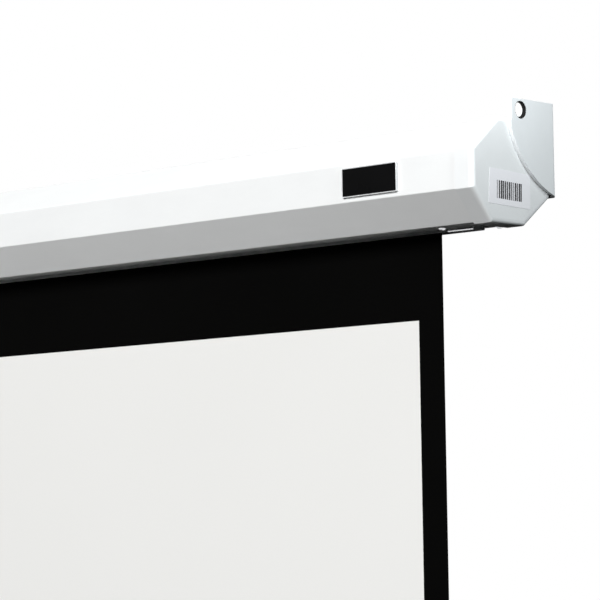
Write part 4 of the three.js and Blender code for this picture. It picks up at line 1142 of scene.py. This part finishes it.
def spring_tree():
    """A close helix of round wire along X."""
    tree = tree_with(
        "Wound spring",
        [
            ("Turns", "NodeSocketFloat", 36.0),
            ("Coil Length", "NodeSocketFloat", 0.144),
            ("Mean Radius", "NodeSocketFloat", 8 * MM),
            ("Wire Radius", "NodeSocketFloat", WIRE_RADIUS),
            ("Steps", "NodeSocketInt", 24),
            ("Sides", "NodeSocketInt", 12),
            ("Finish", "NodeSocketMaterial", None),
        ],
    )
    given = node(tree, "NodeGroupInput").outputs
    spiral = node(
        tree,
        "GeometryNodeCurveSpiral",
        {
            "Resolution": given["Steps"],
            "Rotations": given["Turns"],
            "Start Radius": given["Mean Radius"],
            "End Radius": given["Mean Radius"],
            "Height": given["Coil Length"],
            "Reverse": True,
        },
    ).outputs[0]
    ring = node(
        tree, "GeometryNodeCurvePrimitiveCircle", {"Resolution": given["Sides"], "Radius": given["Wire Radius"]}
    ).outputs[0]
    wire = node(
        tree, "GeometryNodeCurveToMesh", {"Curve": spiral, "Profile Curve": ring, "Fill Caps": True}
    ).outputs[0]
    laid = node(tree, "GeometryNodeTransform", {"Geometry": wire, "Rotation": (0, math.pi / 2, 0)}).outputs[0]
    return finish_tree(tree, laid, given["Finish"])


def build_spring():
    """The spring in the tube, wound to the length of its CAD node."""
    carrier = shown("spring_carrier", bpy.data.meshes.new("spring_start"))
    modifier = carrier.modifiers.new("Spring", "NODES")
    modifier.node_group = spring_tree()
    coil = SPRING_HIGH.x - SPRING_LOW.x - 2 * WIRE_RADIUS
    set_inputs(modifier, {"Coil Length": coil, "Wire Radius": WIRE_RADIUS, "Finish": FINISH["dark_steel"]})
    mesh = as_mesh(carrier, "wound_spring")
    mesh.transform(Matrix.Translation((SPRING_LOW.x + WIRE_RADIUS, ROLLER_Y, ROLLER_Z)))
    bm = closed_up(opened(mesh), 1e-7)
    return new_piece(
        "wound_spring", bm, ["dark_steel"], "root", ["torsion_spring"], crease=60, settled=False
    )


def build_wrap(sizes):
    """Two turns of cloth wound on the tube, as one strip from its inner edge to where the sheet leaves."""
    thick = sizes.cloth
    last = radius_of("fabric_wrap") + 0.1 * MM
    turns = 2
    steps = TURNED_STEPS * turns
    outer = []
    inner = []
    for k in range(steps + 1):
        wound = turns * 2 * math.pi * k / steps
        radius = last - thick * wound / (2 * math.pi)
        angle = math.pi - wound
        for line, distance in ((outer, radius), (inner, radius - thick * 0.96)):
            line.append((ROLLER_Y + distance * math.cos(angle), ROLLER_Z + distance * math.sin(angle)))
    bm = bar_between(outer + inner[::-1], WRAP_LOW.x, WRAP_HIGH.x)
    mapped(bm, "cloth", lambda x, y, z: (x, math.atan2(z - ROLLER_Z, y - ROLLER_Y) * last))
    piece = new_piece(
        "wound_cloth", bm, ["black_cloth"], "roller", ["fabric_wrap"], crease=50, settled=False
    )
    return piece


# ---- Sheet ----


def sway_of(x, z, low, high, half):
    """How far the cloth hangs in front of its plane, as a share: nothing at its top and bottom."""
    drop = (high - z) / (high - low)
    hold = math.sin(math.pi * drop) ** 0.7
    across = x / half
    wave = 0.5 + 0.22 * math.cos(5.3 * across + 0.6) + 0.16 * math.cos(11.7 * across + 2.1)
    edge = 0.35 * abs(across) ** 6 * (0.5 + 0.5 * math.cos(9.0 * drop + across))
    return hold * (wave + edge)


def build_sheet(sizes):
    """The sheet down to the foot of its viewing surface: white in front, black round it and behind."""
    half = SHEET_HIGH.x
    top = SHEET_HIGH.z
    bottom = BAR_HIGH.z + sizes.bottom_border
    border = sizes.side_border
    white = half - border
    white_top = top - sizes.top_border
    columns = [-half, -half + border / 2, *np.linspace(-white, white, 61), half - border / 2, half]
    rows = [*np.linspace(top, white_top, 5), *np.linspace(white_top, bottom, 49)[1:]]
    bm = bmesh.new()

    def face_points(behind):
        """A grid of points on one face of the cloth, as far behind its middle as given."""
        return [
            [
                bm.verts.new((x, SHEET_Y + behind - sizes.sway * sway_of(x, z, bottom, top, half), z))
                for x in columns
            ]
            for z in rows
        ]

    front, rear = face_points(-0.5 * sizes.cloth), face_points(0.5 * sizes.cloth)
    for j in range(len(rows) - 1):
        for i in range(len(columns) - 1):
            face = bm.faces.new([front[j][i], front[j + 1][i], front[j + 1][i + 1], front[j][i + 1]])
            middle_x = (columns[i] + columns[i + 1]) / 2
            middle_z = (rows[j] + rows[j + 1]) / 2
            face.material_index = int(abs(middle_x) < white and middle_z < white_top)
            bm.faces.new([rear[j][i], rear[j][i + 1], rear[j + 1][i + 1], rear[j + 1][i]])
    for j in (0, len(rows) - 1):
        for i in range(len(columns) - 1):
            bm.faces.new((front[j][i], front[j][i + 1], rear[j][i + 1], rear[j][i]))
    for i in (0, len(columns) - 1):
        for j in range(len(rows) - 1):
            bm.faces.new((front[j][i], rear[j][i], rear[j + 1][i], front[j + 1][i]))
    bmesh.ops.recalc_face_normals(bm, faces=bm.faces)
    mapped(bm, "cloth", lambda x, y, z: (x, z))
    cloths = ["black_cloth", "screen_cloth"]
    piece = new_piece(
        "viewing_sheet", bm, cloths, "root", ["screen_sheet"], crease=40, settled=False
    )
    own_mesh(piece)
    return piece


def way_along(path, i):
    """The way of a path of pairs at one of its points."""
    ahead = path[min(i + 1, len(path) - 1)]
    behind = path[max(i - 1, 0)]
    return Vector((ahead[0] - behind[0], ahead[1] - behind[1])).normalized()


def build_lower_border(sizes):
    """The black foot of the sheet, which goes round the rod inside the bar and rides with it."""
    half = SHEET_HIGH.x
    top = BAR_HIGH.z + sizes.bottom_border
    thick = sizes.cloth
    neck = thick * 0.55
    returned = SHEET_Y + thick * 1.04
    loop_radius = ROD_RADIUS + 0.3 * MM + thick / 2
    loop_steps = 40
    reach = math.sqrt(loop_radius**2 - neck**2)
    start = math.asin(neck / loop_radius)
    path = [(SHEET_Y, z) for z in np.linspace(top, ROD_Z + reach + 0.6 * MM, 8)]
    for k in range(loop_steps + 1):
        angle = math.pi / 2 + start + (2 * math.pi - 2 * start) * k / loop_steps
        path.append((SHEET_Y + loop_radius * math.cos(angle), ROD_Z + loop_radius * math.sin(angle)))
    path += [(returned, ROD_Z + reach + 0.5 * MM), (returned, BAR_HIGH.z + 0.6 * MM)]
    near, far, lengths = [], [], [0.0]
    for i, (y, z) in enumerate(path):
        way = way_along(path, i)
        aside = Vector((-way.y, way.x)) * thick / 2
        near.append((y - aside.x, z - aside.y))
        far.append((y + aside.x, z + aside.y))
        if i:
            lengths.append(lengths[-1] + math.dist(path[i - 1], path[i]))
    along = {}
    for line in (near, far):
        for (y, z), distance in zip(line, lengths):
            along[(round(y, 6), round(z, 6))] = distance
    bm = bar_between(near + far[::-1], -half, half)
    mapped(bm, "cloth", lambda x, y, z: (x, -along.get((round(y, 6), round(z, 6)), top - z)))
    piece = new_piece("lower_border", bm, ["black_cloth"], "bar", crease=50, settled=False)
    return piece


# ---- Bottom bar and pull handle ----


def build_bar(sizes):
    """The bottom bar, a drop-shaped tube with a slot for the cloth, with the rod and the ends."""
    top = BAR_HIGH.z
    radius = (BAR_HIGH.y - BAR_LOW.y) / 2
    centre_z = BAR_LOW.z + radius
    narrow = 3.6 * MM
    wall = sizes.bar_wall
    slot = 1 * MM
    slot_corner, outer_corner, inner_corner = 0.35 * MM, 1.2 * MM, 0.4 * MM

    def drop_outline(side, inset_by, corner):
        """From the head on one side round the foot to the head on the other, as softened takes it."""
        halves = []
        for way in (side, -side):
            head = (SHEET_Y + way * (narrow - inset_by), top - inset_by, corner)
            foot = radius - inset_by
            turns = np.linspace(0, math.pi / 2, 15)
            arc = [(SHEET_Y + way * foot * math.cos(a), centre_z - foot * math.sin(a), 0) for a in turns]
            halves.append([head, *arc])
        return halves[0] + halves[1][::-1][1:]

    shaped = [(SHEET_Y + slot, top, slot_corner), *drop_outline(1, 0, outer_corner)]
    shaped += [(SHEET_Y - slot, top, slot_corner), (SHEET_Y - slot, top - wall, slot_corner)]
    shaped += [*drop_outline(-1, wall, inner_corner), (SHEET_Y + slot, top - wall, slot_corner)]
    bm = bar_between(softened(shaped, steps=5), BAR_LOW.x, BAR_HIGH.x, LONG_STATIONS)
    new_piece("weighted_bar", bm, ["case_paint"], "bar", ["bottom_bar"], crease=50)
    build_hem_rod()
    for side, label in SIDES:
        refined(f"bar_end_{label}", f"bar_cap_{label}", "black_moulding", "bar", crease=32)


def build_hem_rod():
    """The rod in the foot of the sheet, rounded off at its ends."""
    soft = 0.5 * MM
    profile = [(0, ROD_LOW.x), (ROD_RADIUS - soft, ROD_LOW.x), (ROD_RADIUS, ROD_LOW.x + soft)]
    profile += [(ROD_RADIUS, ROD_HIGH.x - soft), (ROD_RADIUS - soft, ROD_HIGH.x), (0, ROD_HIGH.x)]
    bm = turned(profile, steps=28, centre=(SHEET_Y, ROD_Z))
    new_piece("hem_rod_bar", bm, ["white_moulding"], "bar", ["hem_rod"], crease=50)


def build_handle(sizes):
    """The saddle under the bar, and the bail: a round rod drawn along its bent path."""
    saddle = refined("handle_mount", "handle_saddle", "black_moulding", "bar", crease=32, edge=0.6 * MM)
    saddle.modifiers["Broken edges"].segments = 3
    rod = sizes.handle_rod
    pivot_z = HANDLE_HIGH.z - rod
    low_z = HANDLE_LOW.z + rod
    across = HANDLE_HIGH.x - rod
    pin = 17 * MM
    small, large = 4.5 * MM, 12 * MM
    path = [(-pin, pivot_z)]

    def bend(start, corner, end, steps):
        """Adds a curve that leaves start and reaches end, both towards the corner."""
        for k in range(steps + 1):
            t = k / steps
            path.append(
                tuple((1 - t) ** 2 * a + 2 * t * (1 - t) * b + t * t * c for a, b, c in zip(start, corner, end))
            )

    bend((-across + small, pivot_z), (-across, pivot_z), (-across, pivot_z - small), steps=8)
    bend((-across, low_z + large), (-across, low_z), (-across + large, low_z), steps=14)
    bend((across - large, low_z), (across, low_z), (across, low_z + large), steps=14)
    bend((across, pivot_z - small), (across, pivot_z), (across - small, pivot_z), steps=8)
    path.append((pin, pivot_z))
    y = centre_of("pull_handle")[0]
    rearward = Vector((0, 1, 0))
    facets = 28
    sections = []
    for i, (x, z) in enumerate(path):
        way = way_along(path, i)
        aside = Vector((way.x, 0, way.y)).cross(rearward)
        ring = []
        for k in range(facets):
            turn = 2 * math.pi * k / facets
            point = Vector((x, y, z)) + aside * rod * math.cos(turn) + rearward * rod * math.sin(turn)
            ring.append(tuple(point))
        sections.append(ring)
    bm = drawn(sections)
    new_piece(
        "pull_bail", bm, ["black_moulding"], "handle", ["pull_handle"], crease=50, settled=False
    )


# ---- Stage ----

WHITE, COOL = (1, 1, 1), (0.93, 0.98, 1)

# Each lamp's name, level setting, direction from its target, distance, size, target and tint
LAMPS = (
    ("key lamp", "key", (0.16, -1, 0.56), 6.0, 2.4, (0.6, 0, -0.35), WHITE),
    ("right lamp", "right", (1, -0.05, 0.35), 5.5, 2.2, (0.5, 0, -0.4), COOL),
    ("near lamp", "near", (0.1, -0.06, 0.1), 0.1536, 0.06, (CAP_HIGH.x, -0.045, -0.02), COOL),
    ("left lamp", "left", (-1, 0.25, 0.3), 5.5, 2.4, (-0.5, 0, -0.6), WHITE),
    ("back lamp", "back", (-0.1, 1, 0.4), 6.0, 3.0, (0, 0, -0.8), WHITE),
)


def camera_ray_share(tree):
    """1 for rays that the camera, a reflection or glass sends, and 0 for the rest."""
    rays = node(tree, "ShaderNodeLightPath").outputs
    seen = maths(tree, "MAXIMUM", rays["Is Camera Ray"], rays["Is Glossy Ray"])
    return maths(tree, "MAXIMUM", seen, rays["Is Transmission Ray"])


def build_world(stage):
    """White for the camera, and a dim even light for everything else."""
    world = bpy.context.scene.world or bpy.data.worlds.new("Studio")
    bpy.context.scene.world = world
    world.use_nodes = True
    tree = world.node_tree
    tree.nodes.clear()
    seen = camera_ray_share(tree)
    dim = node(tree, "ShaderNodeBackground", {"Color": (1, 1, 1, 1), "Strength": stage.ambient})
    white = node(tree, "ShaderNodeBackground", {"Color": (1, 1, 1, 1), "Strength": 1.0})
    mixed = node(tree, "ShaderNodeMixShader", {0: seen, 1: dim.outputs[0], 2: white.outputs[0]})
    node(tree, "ShaderNodeOutputWorld", {0: mixed.outputs[0]})


def build_floor(stage):
    """A pale floor that keeps the object's shadow and runs out into the white background."""
    material, tree, surface = shader("studio floor", (0.24, 0.24, 0.238), 0.9, specular=0)
    place = object_place(tree)
    cloudy = noise(tree, place, scale=1.3, detail=3)
    tree.links.new(
        blended(tree, cloudy, (0.22, 0.22, 0.218), (0.25, 0.25, 0.248)), surface.inputs["Base Color"]
    )
    away = node(tree, "ShaderNodeVectorMath", {0: place}, operation="LENGTH").outputs["Value"]
    level = node(
        tree,
        "ShaderNodeMapRange",
        {"Value": away, "From Min": 3.0, "From Max": 14.0, "To Min": 0.74, "To Max": 1.0},
        interpolation_type="SMOOTHSTEP",
    ).outputs["Result"]
    glow = node(tree, "ShaderNodeEmission", {"Strength": maths(tree, "MULTIPLY", level, camera_ray_share(tree))})
    both = node(tree, "ShaderNodeAddShader", {0: surface.outputs[0], 1: glow.outputs[0]})
    tree.links.new(both.outputs[0], tree.nodes["Material Output"].inputs["Surface"])
    size = 30
    mesh = bpy.data.meshes.new("studio_floor")
    z = -stage.floor_drop
    mesh.from_pydata([(-size, -size, z), (size, -size, z), (size, size, z), (-size, size, z)], [], [(0, 1, 2, 3)])
    mesh.materials.append(material)
    floor = shown("studio_floor", mesh)
    floor.visible_diffuse = False


def build_lamp(name, level, direction, distance, size, target, tint):
    """A soft square lamp whose light on a surface that faces it is level."""
    data = bpy.data.lights.new(name, "AREA")
    data.shape = "SQUARE"
    data.size = size
    data.color = tint
    data.energy = level * math.pi**2 * distance**2
    lamp = shown(name, data)
    way = Vector(direction).normalized()
    lamp.location = Vector(target) + way * distance
    lamp.rotation_euler = way.to_track_quat("Z", "Y").to_euler()
    lamp.visible_camera = False


def build_camera(stage):
    """The camera at the place, with the turn and the lens that the photograph was taken with."""
    data = bpy.data.cameras.new("photo camera")
    data.lens = stage.lens
    data.sensor_width = 36
    data.sensor_fit = "HORIZONTAL"
    data.clip_start = 0.05
    data.clip_end = 200
    camera = shown("photo camera", data)
    yaw, pitch, roll = stage.yaw, stage.pitch, stage.roll
    ahead = Vector((-math.sin(yaw) * math.cos(pitch), math.cos(yaw) * math.cos(pitch), math.sin(pitch)))
    level = Vector((math.cos(yaw), math.sin(yaw), 0))
    upward = level.cross(ahead)
    across = level * math.cos(roll) + upward * math.sin(roll)
    top = upward * math.cos(roll) - level * math.sin(roll)
    turn = Matrix((across, top, -ahead)).transposed()
    camera.matrix_world = Matrix.Translation(CAMERA_PLACE) @ turn.to_4x4()
    bpy.context.scene.camera = camera


# ---- Operators and panel ----


class PROJECTOR_SCREEN_OT_stage(bpy.types.Operator):
    """Makes the camera, the floor and the soft light"""

    bl_idname = "projector_screen.stage"
    bl_label = "Stage"

    def execute(self, context):
        stage = context.scene.screen_stage
        build_camera(stage)
        build_world(stage)
        build_floor(stage)
        for name, setting, *place in LAMPS:
            build_lamp(name, getattr(stage, setting), *place)
        context.scene.view_settings.view_transform = "Standard"
        return {"FINISHED"}


class PROJECTOR_SCREEN_OT_finishes(bpy.types.Operator):
    """Makes the paints, mouldings, cloths and metals"""

    bl_idname = "projector_screen.finishes"
    bl_label = "Finishes"

    def execute(self, context):
        make_finishes(context.scene.screen_finishes)
        return {"FINISHED"}


class PROJECTOR_SCREEN_OT_housing(bpy.types.Operator):
    """Makes the folded case and the plate on its front"""

    bl_idname = "projector_screen.housing"
    bl_label = "Case"

    def execute(self, context):
        build_housing(context.scene.screen_sizes)
        build_badge(context.scene.screen_sizes)
        return {"FINISHED"}


class PROJECTOR_SCREEN_OT_ends(bpy.types.Operator):
    """Makes the end caps, the wall brackets, the lined hanging holes and the cap's label"""

    bl_idname = "projector_screen.ends"
    bl_label = "End caps and brackets"

    def execute(self, context):
        sizes = context.scene.screen_sizes
        for side, label in SIDES:
            build_end_cap(sizes, label)
            build_bracket(sizes, label)
            build_bush(label)
        build_label()
        return {"FINISHED"}


class PROJECTOR_SCREEN_OT_screws(bpy.types.Operator):
    """Makes the screws of the lips, the brackets and the handle"""

    bl_idname = "projector_screen.screws"
    bl_label = "Screws"

    def execute(self, context):
        build_screws()
        return {"FINISHED"}


class PROJECTOR_SCREEN_OT_roller(bpy.types.Operator):
    """Makes the roller, its supports, the wound cloth, the lock and the spring"""

    bl_idname = "projector_screen.roller"
    bl_label = "Roller and lock"

    def execute(self, context):
        build_roller()
        build_lock()
        build_spring()
        build_wrap(context.scene.screen_sizes)
        return {"FINISHED"}


class PROJECTOR_SCREEN_OT_sheet(bpy.types.Operator):
    """Makes the bordered sheet and its foot"""

    bl_idname = "projector_screen.sheet"
    bl_label = "Sheet"

    def execute(self, context):
        sizes = context.scene.screen_sizes
        build_lower_border(sizes)
        build_sheet(sizes)
        return {"FINISHED"}


class PROJECTOR_SCREEN_OT_bar(bpy.types.Operator):
    """Makes the bottom bar with its rod and ends, the saddle and the pull handle"""

    bl_idname = "projector_screen.bar"
    bl_label = "Bottom bar and handle"

    def execute(self, context):
        sizes = context.scene.screen_sizes
        build_bar(sizes)
        build_handle(sizes)
        return {"FINISHED"}


OPERATORS = (
    PROJECTOR_SCREEN_OT_stage,
    PROJECTOR_SCREEN_OT_finishes,
    PROJECTOR_SCREEN_OT_housing,
    PROJECTOR_SCREEN_OT_ends,
    PROJECTOR_SCREEN_OT_screws,
    PROJECTOR_SCREEN_OT_roller,
    PROJECTOR_SCREEN_OT_sheet,
    PROJECTOR_SCREEN_OT_bar,
)


class PROJECTOR_SCREEN_PT_panel(bpy.types.Panel):
    """Lists the steps and the settings"""

    bl_idname = "PROJECTOR_SCREEN_PT_panel"
    bl_label = "Projection Screen"
    bl_space_type = "VIEW_3D"
    bl_region_type = "UI"
    bl_category = "Screen"

    def draw(self, context):
        for operator in OPERATORS:
            self.layout.operator(operator.bl_idname)
        for group in ("screen_sizes", "screen_finishes", "screen_stage"):
            settings = getattr(context.scene, group)
            column = self.layout.column(heading=group.replace("_", " ").capitalize())
            for name in settings.__annotations__:
                column.prop(settings, name)


SETTINGS = {"screen_sizes": ScreenSizes, "screen_finishes": ScreenFinishes, "screen_stage": ScreenStage}
CLASSES = (*SETTINGS.values(), *OPERATORS, PROJECTOR_SCREEN_PT_panel)


def register():
    """Registers the classes and gives the scene its settings."""
    for one in CLASSES:
        bpy.utils.register_class(one)
    for name, group in SETTINGS.items():
        setattr(bpy.types.Scene, name, PointerProperty(type=group))


def unregister():
    """Takes the settings and the classes away again."""
    for name in SETTINGS:
        delattr(bpy.types.Scene, name)
    for one in reversed(CLASSES):
        bpy.utils.unregister_class(one)


def main():
    """Builds everything in order."""
    register()
    for operator in OPERATORS:
        group, name = operator.bl_idname.split(".")
        getattr(getattr(bpy.ops, group), name)()


if __name__ == "__main__":
    main()
